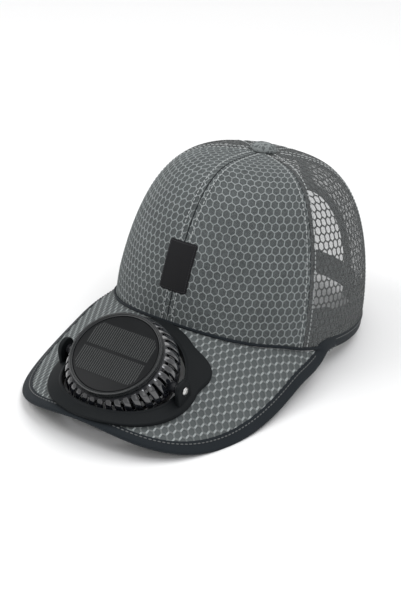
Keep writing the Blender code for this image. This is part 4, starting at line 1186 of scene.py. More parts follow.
def drilled(mesh, cutter):
    """Mesh with a turned cutter taken out of it."""
    items = [linked("whole", mesh), linked("cutter", cutter)]
    step = items[0].modifiers.new("hole", "BOOLEAN")
    step.operation = "DIFFERENCE"
    step.solver = "EXACT"
    step.object = items[1]
    graph = bpy.context.evaluated_depsgraph_get()
    made = bpy.data.meshes.new_from_object(items[0].evaluated_get(graph), depsgraph=graph)
    for item in items:
        bpy.data.objects.remove(item)
    return made


# Fan seat and fan head

def seat_point(radius, angle, lift):
    """Point near the peak, in the seat's frame: angle runs from the crown's side towards +X."""
    x = radius * math.sin(angle)
    steep = x * math.cos(PEAK_SLOPE) / PEAK_ARCH_RADIUS
    drop = math.cos(PEAK_SLOPE) * x * x / (2 * PEAK_ARCH_RADIUS)
    return x, radius * math.cos(angle), lift * math.sqrt(1 + steep * steep) - drop


def flange_reach(angle):
    """Radius of the flange, with a lobe on each side."""
    from_rear = abs(math.atan2(math.sin(angle), math.cos(angle)))
    off = (from_rear - LOBE_ANGLE) / LOBE_SPREAD
    return FLANGE_RADIUS + (LOBE_OUT * math.cos(off * math.pi / 2) ** 2 if abs(off) < 1 else 0.0)


def turned_solid(outline, corner, segments):
    """Solid turned about Z, from an outline that starts and ends on the axis, with its corners rounded."""
    return Shape().turned(rounded(outline, corner, closed=False), segments)


def rod(shape, side, stations, lift):
    """Round rod along X; stations are rows of distance from the middle and radius."""
    turn = full_turn(32)
    loops = [[(side * x, r * math.cos(a), lift + r * math.sin(a)) for a in turn] for x, r in stations]
    return shape.loops(loops)


def flange_shape():
    """Flange with its collar and two round-topped pivot ears."""
    under = PEAK_BINDING_THICK / 2 + GAP
    top = under + FLANGE_THICK
    low = top - COLLAR_DEPTH - under
    inner, wall = OPENING_RADIUS, OPENING_RADIUS + COLLAR_WALL
    loops = []
    for angle in full_turn(180):
        reach = flange_reach(angle)
        outline = [(inner, low), (inner, top + 0.5 * MM), (inner + 1.3 * MM, top + 0.5 * MM),
                   (inner + 2.0 * MM, top), (reach, top), (reach, under), (wall, under), (wall, low)]
        loops.append([seat_point(r, angle, lift) for r, lift in rounded(outline, 0.8 * MM)])
    shape = Shape().loops(loops, closed=True)
    foot = seat_point(EAR_OFFSET, math.pi / 2, under + FLANGE_THICK / 2)[2]
    for side in (-1, 1):
        sections = []
        for x, inset in ((-0.5, 0.5), (-0.42, 0.15), (-0.3, 0.0), (0.3, 0.0), (0.42, 0.15), (0.5, 0.5)):
            radius = EAR_RADIUS - inset * MM
            turn = np.linspace(0, math.pi, 25)
            loop = [(radius * math.cos(a), PIVOT_LIFT + radius * math.sin(a)) for a in turn]
            loop += [(-radius, foot), (radius, foot)]
            sections.append([(side * (EAR_OFFSET + x * EAR_THICK), y, z) for y, z in loop])
        shape.loops(sections)
    return shape


def clamp_shape():
    """Plain ring under the peak that holds the flange."""
    top = -(PEAK_BINDING_THICK / 2 + GAP)
    inner = OPENING_RADIUS + COLLAR_WALL + GAP
    outer, low = inner + CLAMP_WIDTH, top - CLAMP_THICK
    outline = rounded([(inner, top), (inner, low), (outer, low), (outer, top)], 0.8 * MM)
    return Shape().loops([[seat_point(r, a, n) for r, n in outline] for a in full_turn(160)], closed=True)


def screw_shape(side):
    """Screw with a domed head and a round driver recess."""
    face = EAR_OFFSET + EAR_THICK / 2 + GAP
    tip = EAR_OFFSET - EAR_THICK / 2 - BOSS_END_GAP - SCREW_DEPTH
    radius, top = SCREW_HEAD_RADIUS, face + SCREW_HEAD
    stations = [(tip, SCREW_RADIUS * 0.6), (tip + 0.5 * MM, SCREW_RADIUS), (face, SCREW_RADIUS),
                (face, radius * 0.96), (face + 0.3 * MM, radius), (face + 0.7 * MM, radius * 0.93),
                (face + 1.0 * MM, radius * 0.75),
                (top, radius * 0.5), (top, radius * 0.42), (top - 0.6 * MM, radius * 0.38),
                (top - 0.6 * MM, radius * 0.05)]
    return rod(Shape(), side, stations, PIVOT_LIFT)


def bezel_shape():
    """Round housing with a raised lip round the cell disc and a neck below."""
    top, inner = HEAD_TOP, BEZEL_RADIUS - BEZEL_LIP
    flange = top - BEZEL_HEIGHT
    groove = top - 0.45 * BEZEL_HEIGHT
    outer, deep, half = BEZEL_RADIUS, BEZEL_RADIUS - 0.5 * MM, 0.35 * MM
    outline = [(0, flange - NECK_HEIGHT), (NECK_RADIUS, flange - NECK_HEIGHT), (NECK_RADIUS, flange),
               (outer, flange), (outer, groove - half), (deep, groove - half), (deep, groove + half),
               (outer, groove + half), (outer, top),
               (inner + 1.2 * MM, top), (inner + 0.9 * MM, top - 0.5 * MM), (inner, top - 0.6 * MM),
               (inner, top - PANEL_RECESS), (0, top - PANEL_RECESS)]
    return turned_solid(outline, 0.45 * MM, 128)


def disc_shape():
    """Disc that the cells lie in, inside the housing's lip."""
    low = HEAD_TOP - PANEL_RECESS + GAP
    radius = BEZEL_RADIUS - BEZEL_LIP - GAP
    outline = [(0, low), (radius, low), (radius, DISC_TOP), (0, DISC_TOP)]
    return turned_solid(outline, 0.3 * MM, 128)


def cell_shape():
    """The two cells, each a thin plate that is cut to the disc's edge."""
    shape = Shape()
    x = np.linspace(-CELL["half_width"], CELL["half_width"], 61)
    far = np.minimum(np.sqrt(CELL["radius"] ** 2 - x * x), CELL["far"])
    for side in (-1, 1):
        y = side * (CELL["near"] + (far - CELL["near"])[None, :] * np.linspace(0, 1, 5)[:, None])
        grid = np.stack([x[None, :] + 0 * y, y, 0 * y], -1)
        shape.slab(grid + (0, 0, DISC_TOP + 0.06 * MM), grid + (0, 0, DISC_TOP - 0.1 * MM), grid[..., :2])
    return shape


def guard_line():
    """Radius and height down the guard's wall, as a smooth curve through its section."""
    knots = np.array([(row["radius"] * GUARD_RADIUS, row["height"] * HEAD_TOP) for row in GUARD_SECTION])
    ends = np.concatenate([[2 * knots[0] - knots[1]], knots, [2 * knots[-1] - knots[-2]]])
    points = []
    for t in np.linspace(0, len(knots) - 1, GUARD_STEPS):
        k = min(int(t), len(knots) - 2)
        u = t - k
        a, b, c, d = ends[k:k + 4]
        points.append(0.5 * (2 * b + (c - a) * u + (2 * a - 5 * b + 4 * c - d) * u * u
                             + (3 * b - a - 3 * c + d) * u ** 3))
    return np.array(points)


def outward(line):
    """Unit vectors across a stretch of the guard's wall."""
    along = np.gradient(line, axis=0)
    along /= np.linalg.norm(along, axis=1, keepdims=True)
    return np.stack([-along[:, 1], along[:, 0]], -1)


def rib_shape():
    """One rib of the guard: a curved bar with rounded edges."""
    line = guard_line()[slice(*GUARD_RIBS)]
    line = line[np.linspace(0, len(line) - 1, 12).round().astype(int)]
    out = outward(line)
    half = math.pi / RIB_COUNT * RIB_SHARE
    ring = rounded([(-1, -0.8), (1, -0.8), (1, 0.9), (-1, 0.9)], 0.45, 3)
    loops = []
    for (r, h), (nr, nh) in zip(line, out):
        loop = []
        for across, off in ring:
            bow = 0.35 * (1 - across * across) if off > 0 else 0.0
            lift = (off + bow) * GUARD_WALL / 2
            radius, angle = r + nr * lift, across * half
            loop.append((radius * math.cos(angle), radius * math.sin(angle), h + nh * lift))
        loops.append(loop)
    return Shape().loops(loops)


def guard_rings_shape():
    """Neck ring, lower skirt and the two bosses of the guard."""
    shape = Shape()
    for stretch in (GUARD_NECK, GUARD_SKIRT):
        part = guard_line()[slice(*stretch, 2)]
        out = outward(part) * GUARD_WALL / 2
        outline = [tuple(p) for p in part + out] + [tuple(p) for p in (part - out)[::-1]]
        shape.turned(rounded(outline, 0.35 * MM, 3), 144)
    end = EAR_OFFSET - EAR_THICK / 2 - BOSS_END_GAP
    for side in (-1, 1):
        full, groove = BOSS_RADIUS, BOSS_RADIUS - 0.5 * MM
        rod(shape, side, [(GUARD_RADIUS - 1.5 * MM, full), (end - 2.4 * MM, full), (end - 2.2 * MM, groove),
                          (end - 1.8 * MM, groove), (end - 1.6 * MM, full), (end - 0.4 * MM, full),
                          (end, full - 0.4 * MM)], 0.0)
        pad = [(-1.0, 3.8), (0.7, 3.8), (1.0, 3.4)]
        rod(shape, side, [(GUARD_RADIUS + x * MM, r * MM) for x, r in pad], 0.0)
    return shape


def grille_top():
    """Height of the grille's upper face, just below the end of the guard's wall."""
    row = GUARD_SECTION[-1]
    before = GUARD_SECTION[-2]
    run = (row["radius"] - before["radius"]) * GUARD_RADIUS
    fall = (before["height"] - row["height"]) * HEAD_TOP
    return row["height"] * HEAD_TOP - abs(run) / math.hypot(run, fall) * GUARD_WALL / 2 - GAP


def grille_parts():
    """Rings of the grille, and one of its spokes."""
    top = grille_top()
    low = top - GRILLE_THICK
    rings = turned_solid([(0, low), (GRILLE_HUB, low), (GRILLE_HUB, top), (0, top)], 0.4 * MM, 48)
    pitch = (GRILLE_RADIUS - GRILLE_HUB) / GRILLE_RINGS
    for k in range(GRILLE_RINGS):
        outer = GRILLE_HUB + (k + 1) * pitch
        inner = outer - GRILLE_BAR
        rings.turned(rounded([(inner, low), (outer, low), (outer, top), (inner, top)], 0.4 * MM, 3), 120)
    section = rounded([(-0.9, -0.75), (0.9, -0.75), (0.9, 0.75), (-0.9, 0.75)], 0.4, 3)
    middle = (top + low) / 2
    ends = (GRILLE_HUB - MM, GRILLE_RADIUS - MM)
    loops = [[(x, y * MM, middle + z * MM) for y, z in section] for x in ends]
    return rings, Shape().loops(loops)


def motor_shape():
    """Motor can with a raised ring round its shaft."""
    low = MOTOR_TOP - MOTOR_HEIGHT
    end, ridge = low - SHAFT_LENGTH, low - 0.3 * MM
    outline = [(0, end), (SHAFT_RADIUS, end), (SHAFT_RADIUS, low), (3 * MM, low), (3 * MM, ridge),
               (3.6 * MM, ridge), (3.6 * MM, low), (MOTOR_RADIUS, low), (MOTOR_RADIUS, MOTOR_TOP),
               (0, MOTOR_TOP)]
    return turned_solid(outline, 0.5 * MM, 64)


def hub_shape():
    """Hub of the impeller, bored for the shaft from above."""
    top = HUB_HEIGHT / 2
    bore = SHAFT_RADIUS + GAP
    deep = SHAFT_LENGTH + GAP - RUNNING_GAP
    outline = [(0, -top), (HUB_RADIUS, -top), (HUB_RADIUS, top), (bore, top), (bore, top - deep),
               (0, top - deep)]
    return turned_solid(outline, 0.7 * MM, 72)


def blade_shape():
    """One twisted blade with rounded edges, cupped across its chord."""
    table = np.array([(row["radius"], row["chord"], row["pitch"]) for row in BLADE_SECTION])
    loops = []
    for share in np.linspace(table[0, 0], table[-1, 0], 12):
        chord = np.interp(share, table[:, 0], table[:, 1]) * HUB_HEIGHT
        pitch = np.interp(share, table[:, 0], table[:, 2]) * DEG
        loop = []
        for a in full_turn(20):
            s = math.copysign(abs(math.cos(a)) ** 0.6, math.cos(a)) * 0.5
            t = math.copysign(abs(math.sin(a)) ** 0.8, math.sin(a)) * 0.5 * BLADE_THICK
            t += 0.6 * MM * (0.5 - 2 * s * s)
            loop.append((share * BLADE_RADIUS, s * chord * math.cos(pitch) - t * math.sin(pitch),
                         s * chord * math.sin(pitch) + t * math.cos(pitch)))
        loops.append(loop)
    return Shape().loops(loops)


# Materials

def tones(colour, factors):
    """Darker and lighter tones of a colour, as nodes take them."""
    return [(*(min(c * factor, 1.0) for c in colour), 1) for factor in factors]


def finish(name, roughness, metallic=0.0, **sockets):
    """New material, its tree as expressions, and its shader."""
    made = bpy.data.materials.new(name)
    made.use_nodes = True
    shader = made.node_tree.nodes["Principled BSDF"]
    for key, value in {"Roughness": roughness, "Metallic": metallic, **sockets}.items():
        shader.inputs[key.replace("_", " ")].default_value = value
    return made, Graph(made.node_tree), shader


def speckle(graph, scale, detail=2.0):
    """Noise from 0 to 1, in cells of about 1/scale metres."""
    place = graph.node("ShaderNodeTexCoord", out="Object")
    return graph.node("ShaderNodeTexNoise", {"Vector": place, "Scale": scale, "Detail": detail})


def bump(graph, shader, height, depth, strength):
    raised = graph.node("ShaderNodeBump", {"Height": height, "Distance": depth, "Strength": strength})
    graph.put(shader.inputs["Normal"], raised)


def cloth(name, colour, factors, yarn, roughness=0.85, sheen=0.04, depth=0.12 * MM, twill=0.0, cover=1.0,
          grain=2600):
    """Woven or knitted cloth: crossing yarns on the cloth's own coordinates, and fibre noise."""
    made, graph, shader = finish(name, roughness, Sheen_Weight=sheen, Sheen_Roughness=0.5,
                                 Specular_IOR_Level=0.2, Alpha=cover)
    place = graph.node("ShaderNodeUVMap", uv_map="cloth")
    across = graph.node("ShaderNodeSeparateXYZ", {0: place})
    along = graph.also(across, "Y")
    turns = 2 * math.pi / (yarn * UV_PER_METRE)
    warp = graph.maths("SINE", (across + along * twill) * turns)
    weft = graph.maths("SINE", along * turns)
    weave = warp * weft * 0.5 + 0.5
    fibre = speckle(graph, grain, 3.0)
    patch = speckle(graph, 45.0)
    share = weave * 0.45 + (fibre * 2.5 - 0.75) * 0.4 + patch * 0.25
    graph.put(shader.inputs["Base Color"], graph.blend(share, *tones(colour, factors)))
    graph.put(shader.inputs["Roughness"], roughness - 0.1 + fibre * 0.2)
    bump(graph, shader, weave + fibre * 0.5, depth, 0.6)
    return made


def knotted(name, ground, strand, cell):
    """Net drawn tight over a small form: light strands round dark cells, raised a little."""
    made, graph, shader = finish(name, 0.8, Specular_IOR_Level=0.2)
    place = graph.node("ShaderNodeTexCoord", out="Object")
    edge = graph.node("ShaderNodeTexVoronoi", {"Vector": place, "Scale": 1 / cell, "Randomness": 0.55},
                      feature="DISTANCE_TO_EDGE")
    fibre = speckle(graph, 1500.0, 3.0)
    share = graph.maths("LESS_THAN", edge, 0.13) * 0.6 + fibre * 0.4
    graph.put(shader.inputs["Base Color"], graph.blend(share, *tones(ground, [0.8]), *tones(strand, [1.0])))
    graph.put(shader.inputs["Roughness"], 0.7 + fibre * 0.2)
    bump(graph, shader, share, 0.3 * MM, 0.8)
    return made


def thread(name, colour, factors):
    """Sewing thread: fine twist and fuzz."""
    made, graph, shader = finish(name, 0.7, Sheen_Weight=0.1)
    twist = speckle(graph, 3500.0)
    graph.put(shader.inputs["Base Color"], graph.blend(twist, *tones(colour, factors)))
    bump(graph, shader, twist, 0.05 * MM, 0.5)
    return made


def plastic(name, colour, factors, roughness, grain, depth, shine=0.3, coat=0.0):
    """Moulded plastic: fine grain, faint handling marks."""
    made, graph, shader = finish(name, roughness, Specular_IOR_Level=shine, Coat_Weight=coat)
    fine = speckle(graph, grain)
    marks = speckle(graph, 60.0, 4.0)
    graph.put(shader.inputs["Base Color"], graph.blend(marks, *tones(colour, factors)))
    graph.put(shader.inputs["Roughness"], roughness - 0.06 + marks * 0.12 + fine * 0.04)
    bump(graph, shader, fine, depth, 0.5)
    return made


def steel(name):
    made, graph, shader = finish(name, 0.25, 1.0)
    lines = speckle(graph, 1500.0)
    graph.put(shader.inputs["Base Color"], graph.blend(lines, (0.5, 0.5, 0.5, 1), (0.75, 0.74, 0.72, 1)))
    graph.put(shader.inputs["Roughness"], lines * 0.2 + 0.15)
    bump(graph, shader, lines, 0.02 * MM, 0.3)
    return made


def floor_material(colour):
    made, graph, shader = finish("Pale floor", 0.6)
    graph.put(shader.inputs["Base Color"], graph.blend(speckle(graph, 3.0), *tones(colour, (0.985, 1.0))))
    return made


# Settings

def colour_setting(name, words, default):
    return bpy.props.FloatVectorProperty(name=name, description=words, default=default, subtype="COLOR",
                                         size=3, min=0, max=1)


def length_setting(name, words, default):
    return bpy.props.FloatProperty(name=name, description=words, default=default, subtype="DISTANCE",
                                   unit="LENGTH", min=0)


def share_setting(name, words, default):
    return bpy.props.FloatProperty(name=name, description=words, default=default)


class HatClothSettings(bpy.types.PropertyGroup):
    front_cell: length_setting("Front cell", "Distance between the cells of the front net", 5.0 * MM)
    front_hole: share_setting("Front hole", "Open share of a front cell", 0.885)
    peak_cell: length_setting("Peak cell", "Distance between the cells of the peak's net", 4.5 * MM)
    peak_hole: share_setting("Peak hole", "Open share of a cell of the peak", 0.78)
    side_cell: length_setting("Side cell", "Distance between the cells of the see-through net", 5.2 * MM)
    side_hole: share_setting("Side hole", "Open share of a see-through cell", 0.83)
    cell_stretch: share_setting("Cell stretch", "Row distance as a share of the cell", 0.98)
    stitch_pitch: length_setting("Stitch pitch", "Distance between stitches", 2.9 * MM)
    stitch_length: length_setting("Stitch length", "Length of a stitch", 2.2 * MM)
    thread_width: length_setting("Thread width", "Thickness of the thread", 0.8 * MM)
    backing_colour: colour_setting("Backing", "Cloth behind the front net", (0.082, 0.091, 0.092))
    net_colour: colour_setting("Front net", "Yarn of the front net", (0.25, 0.27, 0.27))
    mesh_colour: colour_setting("Side net", "Yarn of the see-through net", (0.07, 0.073, 0.073))
    sheer_colour: colour_setting("Sheer", "Sheer cloth in the see-through net's cells", (0.17, 0.18, 0.18))
    sheer_cover: share_setting("Sheer cover", "How much each face of the sheer hides", 0.36)
    tape_colour: colour_setting("Tape", "Binding tape, strap and sweatband", (0.009, 0.012, 0.015))
    thread_colour: colour_setting("Thread", "Topstitching", (0.4, 0.42, 0.42))
    label_colour: colour_setting("Label", "Woven patch", (0.006, 0.006, 0.007))


class HatFanSettings(bpy.types.PropertyGroup):
    line_pitch: length_setting("Line pitch", "Distance between the cells' lines", 1.5 * MM)
    line_width: length_setting("Line width", "Width of the cells' lines", 0.26 * MM)
    plastic_colour: colour_setting("Plastic", "Flange, housing and grille", (0.0075, 0.009, 0.01))
    gloss_colour: colour_setting("Gloss plastic", "Guard and blades", (0.009, 0.010, 0.013))
    cell_colour: colour_setting("Cells", "Face of the solar cells", (0.011, 0.012, 0.013))
    line_colour: colour_setting("Cell lines", "Printed lines of the cells", (0.075, 0.08, 0.078))


class HatStageSettings(bpy.types.PropertyGroup):
    floor_colour: colour_setting("Floor", "Pale floor", (0.9, 0.9, 0.9))
    sky: share_setting("Sky", "Strength of the even light", 0.65)
    key: bpy.props.FloatProperty(name="Key light", description="Power of the main light", default=9.0,
                                 unit="POWER")


# Operators

class HatPiece:
    """What the operators of the pieces share."""

    bl_options = {"REGISTER", "UNDO"}

    def execute(self, context):
        self.build(context.scene.hat_cloth, context.scene.hat_fan)
        return {"FINISHED"}


class HAT_OT_front_cloth(HatPiece, bpy.types.Operator):
    """Backing cloth of the two front panels"""

    bl_idname = "hat.front_cloth"
    bl_label = "Front cloth"

    def build(self, look, fan):
        made = cloth("Front backing", look.backing_colour, (0.1, 1.75), 1.3 * MM, depth=0.2 * MM, grain=1000)
        for hand, mesh in both_hands(PANELS["front"].cloth(FRONT_CLOTH)):
            settle(f"front_cloth_{hand}", mesh, ON_CAP, made, "front_cloth", f"front_panel_{hand}")


class HAT_OT_nets(HatPiece, bpy.types.Operator):
    """Hexagon net on the front panels, and the see-through net of the side and rear panels with its sheer"""

    bl_idname = "hat.nets"
    bl_label = "Nets"

    def build(self, look, fan):
        light = cloth("Front net", look.net_colour, (0.4, 1.6), NET_YARN, grain=900)
        dark = cloth("See-through net", look.mesh_colour, (0.7, 1.4), NET_YARN)
        fine = cloth("Sheer cloth", look.sheer_colour, (0.8, 1.3), 0.4 * MM, cover=look.sheer_cover)
        over, under = 0.02 * MM, -0.1 * MM
        front = {"kind": "net", "cell": look.front_cell, "hole": look.front_hole, "lift": over, "made": light}
        open_net = {"kind": "net", "cell": look.side_cell, "hole": look.side_hole, "lift": over, "made": dark}
        sheer = {"kind": "sheer", "cell": look.side_cell, "hole": 0.02, "lift": under, "made": fine}
        rows = [("side", sheer), ("rear", sheer), ("front", front), ("side", open_net), ("rear", open_net)]
        for panel, row in rows:
            net = PANELS[panel].net(look.cell_stretch, row["cell"], row["hole"], row["lift"], panel == "rear")
            for hand, mesh in both_hands(net):
                nodes = [f"{panel}_panel_{hand}"] if row is open_net else []
                slot = "front_cloth" if row is front else "mesh_cloth"
                settle(f"{panel}_{row['kind']}_{hand}", mesh, ON_CAP, row["made"], slot, *nodes)


class HAT_OT_seams(HatPiece, bpy.types.Operator):
    """Tape inside the crown's seams, whose dark line between the panels is painted shade, and the
    topstitching beside them
    """

    bl_idname = "hat.seams"
    bl_label = "Seams"

    def build(self, look, fan):
        # Seam tape, whose dark line seen through the slits is painted shade for the seams' grooves
        tape = cloth("Seam tape and shade", look.tape_colour, (1.6, 3.0), 0.8 * MM)
        settle("seam_tape_and_shade", seam_tape_and_shade_shape(), ON_CAP, tape, "tape_cloth")
        sew("seam_stitches", topstitch_lines(), look, "Topstitch thread", (0.7, 1.3), "front_cloth")


class HAT_OT_tapes(HatPiece, bpy.types.Operator):
    """Binding tape of the rim, the rear opening and the peak, with its stitching, and a dark cord of painted
    shadow where the crown meets the peak
    """

    bl_idname = "hat.tapes"
    bl_label = "Tapes"

    def build(self, look, fan):
        made = cloth("Binding tape", look.tape_colour, (0.7, 1.7), 0.6 * MM, twill=1.0)
        settle("rim_tape", rim_tape_shape(), ON_CAP, made, "tape_cloth", "rim_binding")
        settle("peak_tape", peak_tape_shape(), ON_CAP, made, "tape_cloth", "peak_binding")
        sew("tape_stitches", tape_stitch_lines(), look, "Tape thread", (0.12, 0.4), "tape_cloth")


class HAT_OT_peak(HatPiece, bpy.types.Operator):
    """Stiff peak in its cloth, with the net over it, whose strands of one slant carry a painted glint"""

    bl_idname = "hat.peak"
    bl_label = "Peak"

    def build(self, look, fan):
        made = cloth("Peak cloth", look.backing_colour, (0.7, 1.4), 0.7 * MM)
        # Two copies of the net's one colour: the lighter one, put on the strands of one slant, is a painted
        # glint
        plain = cloth("Peak net", look.net_colour, (0.4, 0.75), NET_YARN)
        light = cloth("Peak net painted glint", look.net_colour, (0.9, 1.5), NET_YARN)
        radius, deep = OPENING_RADIUS + COLLAR_WALL + GAP, 22 * MM
        cutter = Shape().turned([(0, -deep), (radius, -deep), (radius, deep), (0, deep)], 144).mesh()
        cutter.transform(STAND.inverted() @ SEAT)
        settle("peak_cloth", drilled(peak_cloth_shape().mesh(), cutter), ON_CAP, made, "front_cloth", "peak")
        net = settle("peak_net", peak_net_shape(look), ON_CAP, (plain, light), "front_cloth")
        paint_glint_strands(net.data)


class HAT_OT_band(HatPiece, bpy.types.Operator):
    """Sweatband, rear strap and its stitching"""

    bl_idname = "hat.band"
    bl_label = "Band and strap"

    def build(self, look, fan):
        soft = cloth("Sweatband cloth", look.tape_colour, (0.9, 2.0), 1.0 * MM, roughness=0.9, sheen=0.08)
        web = cloth("Strap webbing", look.tape_colour, (0.6, 1.6), 1.4 * MM, roughness=0.75, depth=0.25 * MM)
        settle("sweatband_cloth", band_shape(), ON_CAP, soft, "tape_cloth", "sweatband")
        shape, lines = strap_shape()
        settle("strap", shape, ON_CAP, web, "tape_cloth", "rear_strap")
        sew("strap_stitches", lines, look, "Strap thread", (0.25, 0.6), "tape_cloth")


class HAT_OT_trims(HatPiece, bpy.types.Operator):
    """Cloth-covered button and the bare woven label"""

    bl_idname = "hat.trims"
    bl_label = "Button and label"

    def build(self, look, fan):
        made = knotted("Button cloth", look.backing_colour, look.net_colour, look.side_cell * 0.6)
        settle("button_cloth", button_shape(), ON_CAP, made, "front_cloth", "top_button")
        patch = cloth("Label cloth", look.label_colour, (0.7, 1.8), 0.45 * MM, roughness=0.7, sheen=0.02)
        shape, lines = label_shape()
        settle("label_patch", shape, ON_CAP, patch, "label_cloth", "front_label")
        yarn = thread("Label thread", look.label_colour, (2.0, 6.0))
        stitches = stitched(lines, look, yarn, pitch=1.5 * MM, length=1.2 * MM, width=0.35 * MM)
        settle("label_stitches", stitches, ON_CAP, yarn, "label_cloth")


class HAT_OT_fan_seat(HatPiece, bpy.types.Operator):
    """Flange with its ears on the peak, the ring below it and the pivot screws"""

    bl_idname = "hat.fan_seat"
    bl_label = "Fan seat"

    def build(self, look, fan):
        made = plastic("Flange plastic", fan.plastic_colour, (0.85, 1.2), 0.5, 2200, 0.05 * MM, shine=0.1)
        settle("flange", flange_shape(), ON_SEAT, made, "matte_plastic", "fan_plate")
        settle("under_ring", clamp_shape(), ON_SEAT, made, "matte_plastic", "clamp_ring")
        metal = steel("Screw steel")
        for side, hand in ((1, "left"), (-1, "right")):
            settle(f"screw_{hand}", screw_shape(side), ON_SEAT, metal, "screw_steel", f"pivot_screw_{hand}")


class HAT_OT_fan_cover(HatPiece, bpy.types.Operator):
    """Housing, cell disc, the two cells and their lines"""

    bl_idname = "hat.fan_cover"
    bl_label = "Fan cover"

    def build(self, look, fan):
        made = plastic("Housing plastic", fan.plastic_colour, (0.8, 1.15), 0.22, 2600, 0.03 * MM, shine=0.35)
        settle("housing", bezel_shape(), ON_HEAD, made, "matte_plastic", "panel_bezel")
        disc = plastic("Disc resin", fan.cell_colour, (0.5, 0.9), 0.3, 1800, 0.02 * MM, shine=0.1)
        settle("cell_disc", disc_shape(), ON_HEAD, disc, "cell_face", "solar_panel")
        face = plastic("Cell face", fan.cell_colour, (0.6, 1.1), 0.3, 1200, 0.01 * MM, shine=0.1)
        settle("cells", cell_shape(), ON_HEAD, face, "cell_face")
        line = plastic("Cell line print", fan.line_colour, (0.8, 1.2), 0.35, 2500, 0.01 * MM)
        half = grow(finger_tree(), {
            "Count": int(2 * CELL["half_width"] / fan.line_pitch), "Pitch": fan.line_pitch,
            "Width": fan.line_width, "Near": CELL["near"] + 0.3 * MM, "Far": CELL["far"] - 0.3 * MM,
            "Disc radius": CELL["radius"], "Material": line})
        half.transform(Matrix.Translation((0, 0, DISC_TOP + 0.07 * MM)))
        other = half.copy()
        other.transform(Matrix.Rotation(math.pi, 4, "Z"))
        settle("cell_lines", joined([half, other]), ON_HEAD, line, "cell_face")


class HAT_OT_fan_cage(HatPiece, bpy.types.Operator):
    """Ribbed guard, the grille below it and the motor"""

    bl_idname = "hat.fan_cage"
    bl_label = "Fan cage"

    def build(self, look, fan):
        gloss = plastic("Guard plastic", fan.gloss_colour, (0.8, 1.3), 0.14, 900, 0.02 * MM, 0.9, coat=0.8)
        ribs = grow(round_tree(), {"Count": RIB_COUNT, "Material": gloss}, rib_shape().mesh())
        settle("guard_ribs", ribs, ON_HEAD, gloss, "gloss_plastic")
        satin = plastic("Guard ring plastic", fan.gloss_colour, (0.7, 1.1), 0.32, 900, 0.02 * MM)
        settle("guard_rings", guard_rings_shape(), ON_HEAD, satin, "gloss_plastic", "fan_guard")
        made = plastic("Grille plastic", fan.plastic_colour, (0.8, 1.2), 0.45, 2200, 0.04 * MM)
        rings, spoke = grille_parts()
        spokes = grow(round_tree(), {"Count": GRILLE_SPOKES, "Material": made}, spoke.mesh())
        settle("grille", joined([rings.mesh(), spokes]), ON_HEAD, made, "matte_plastic", "lower_grille")
        can = plastic("Motor can", fan.plastic_colour, (1.5, 2.5), 0.35, 1500, 0.02 * MM)
        settle("motor_can", motor_shape(), ON_HEAD, can, "matte_plastic", "motor")


class HAT_OT_impeller(HatPiece, bpy.types.Operator):
    """Hub and blades of the fan"""

    bl_idname = "hat.impeller"
    bl_label = "Impeller"

    def build(self, look, fan):
        gloss = plastic("Blade plastic", fan.gloss_colour, (1.0, 1.8), 0.22, 900, 0.02 * MM, shine=0.7)
        blades = grow(round_tree(), {"Count": BLADE_COUNT, "Material": gloss}, blade_shape().mesh())
        whole = joined([hub_shape().mesh(), blades])
        settle("impeller_blades", whole, ON_AXLE, gloss, "gloss_plastic", "fan_blades")


# Camera, fitted to the picture in the hat's own frame, and lamps
CAMERA_TURN = 26.27 * DEG
CAMERA_RISE = 15.44 * DEG
CAMERA_ROLL = 9.55 * DEG
CAMERA_AIM = (0.0, 0.0, 61.56 * MM)
CAMERA_DISTANCE = 1066.6 * MM
FOCAL_PIXELS = 1549.5
IMAGE_SIZE = (401, 601)
AIM_PIXEL = (252.65, 225.55)
SENSOR = 36.0
FLOOR_HALF = 6.0
WHITE = (1, 1, 1)
LAMPS = {
    "key": {"place": (-0.9, -0.7, 1.3), "aim": (0, 0, 0.05), "size": 0.9, "share": 1.0, "colour": WHITE},
    "fill": {"place": (1.3, -0.9, 0.8), "aim": (0, 0, 0.05), "size": 0.9, "share": 0.2, "colour": WHITE},
    "top": {"place": (0.1, 0.5, 1.5), "aim": (0, 0, 0.05), "size": 1.4, "share": 1.15, "colour": WHITE},
    "glint": {"place": (0.62, -0.4, 1.15), "aim": (0, -0.08, 0.02), "size": 0.35, "share": 0.25,
              "colour": (0.93, 0.95, 1)},
}


def camera_frame():
    """Place and turn of the camera, aimed along the ray of the picture's middle."""
    a, e, r = CAMERA_TURN, CAMERA_RISE, CAMERA_ROLL
    back = Vector((math.sin(a) * math.cos(e), -math.cos(a) * math.cos(e), math.sin(e)))
    right = Vector((math.cos(a), math.sin(a), 0))
    up = back.cross(right)
    right, up = math.cos(r) * right + math.sin(r) * up, math.cos(r) * up - math.sin(r) * right
    place = Vector(CAMERA_AIM) + back * CAMERA_DISTANCE
    across, down = ((IMAGE_SIZE[k] / 2 - AIM_PIXEL[k]) / FOCAL_PIXELS for k in (0, 1))
    back = (back - right * across + up * down).normalized()
    right = up.cross(back).normalized()
    up = back.cross(right)
    turn = Matrix((right, up, back)).transposed().to_4x4()
    return STAND @ Matrix.Translation(place) @ turn


def soft_lamp(name, row, power):
    data = bpy.data.lights.new(name, "AREA")
    data.energy = power * row["share"]
    data.size = row["size"]
    data.color = row["colour"]
    lamp = linked(name, data)
    lamp.location = row["place"]
    lamp.rotation_euler = (Vector(row["aim"]) - Vector(row["place"])).to_track_quat("-Z", "Y").to_euler()


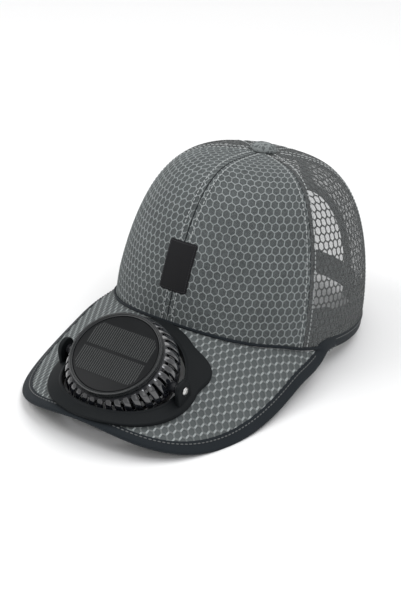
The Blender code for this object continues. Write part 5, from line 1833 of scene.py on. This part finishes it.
class HAT_OT_stage(bpy.types.Operator):
    """Pale floor, soft light and the camera"""

    bl_idname = "hat.stage"
    bl_label = "Stage"

    def execute(self, context):
        look, scene = context.scene.hat_stage, context.scene
        mesh = bpy.data.meshes.new("floor")
        corners = [(x * FLOOR_HALF, y * FLOOR_HALF, 0) for x, y in ((-1, -1), (1, -1), (1, 1), (-1, 1))]
        mesh.from_pydata(corners, [], [(0, 1, 2, 3)])
        mesh.materials.append(floor_material(tuple(look.floor_colour)))
        linked("floor", mesh)
        scene.world = bpy.data.worlds.new("studio")
        scene.world.use_nodes = True
        sky = scene.world.node_tree.nodes["Background"]
        sky.inputs["Color"].default_value = (*WHITE, 1)
        sky.inputs["Strength"].default_value = look.sky
        for name, row in LAMPS.items():
            soft_lamp(name, row, look.key)
        data = bpy.data.cameras.new("camera")
        data.sensor_width = SENSOR
        data.lens = SENSOR * FOCAL_PIXELS / IMAGE_SIZE[1]
        data.clip_start = 0.01
        scene.camera = linked("camera", data)
        scene.camera.matrix_world = camera_frame()
        scene.view_settings.view_transform = "Standard"
        return {"FINISHED"}

PIECE_OPERATORS = (
    HAT_OT_front_cloth, HAT_OT_nets, HAT_OT_seams, HAT_OT_tapes, HAT_OT_peak, HAT_OT_band, HAT_OT_trims,
    HAT_OT_fan_seat, HAT_OT_fan_cover, HAT_OT_fan_cage, HAT_OT_impeller, HAT_OT_stage,
)
SETTINGS = {"hat_cloth": HatClothSettings, "hat_fan": HatFanSettings, "hat_stage": HatStageSettings}


class HAT_PT_panel(bpy.types.Panel):
    """Sizes and colours of the hat, and a button for each piece"""

    bl_idname = "HAT_PT_panel"
    bl_label = "Solar fan hat"
    bl_space_type = "VIEW_3D"
    bl_region_type = "UI"
    bl_category = "Hat"

    def draw(self, context):
        for group, kind in SETTINGS.items():
            box = self.layout.box()
            for setting in kind.__annotations__:
                box.prop(getattr(context.scene, group), setting)
        for operator in PIECE_OPERATORS:
            self.layout.operator(operator.bl_idname)


def register():
    for kind in (*SETTINGS.values(), *PIECE_OPERATORS, HAT_PT_panel):
        bpy.utils.register_class(kind)
    for group, kind in SETTINGS.items():
        setattr(bpy.types.Scene, group, bpy.props.PointerProperty(type=kind))


def unregister():
    for group in SETTINGS:
        delattr(bpy.types.Scene, group)
    for kind in reversed((*SETTINGS.values(), *PIECE_OPERATORS, HAT_PT_panel)):
        bpy.utils.unregister_class(kind)


def main():
    register()
    for operator in PIECE_OPERATORS:
        group, name = operator.bl_idname.split(".")
        getattr(getattr(bpy.ops, group), name)()


if __name__ == "__main__":
    main()
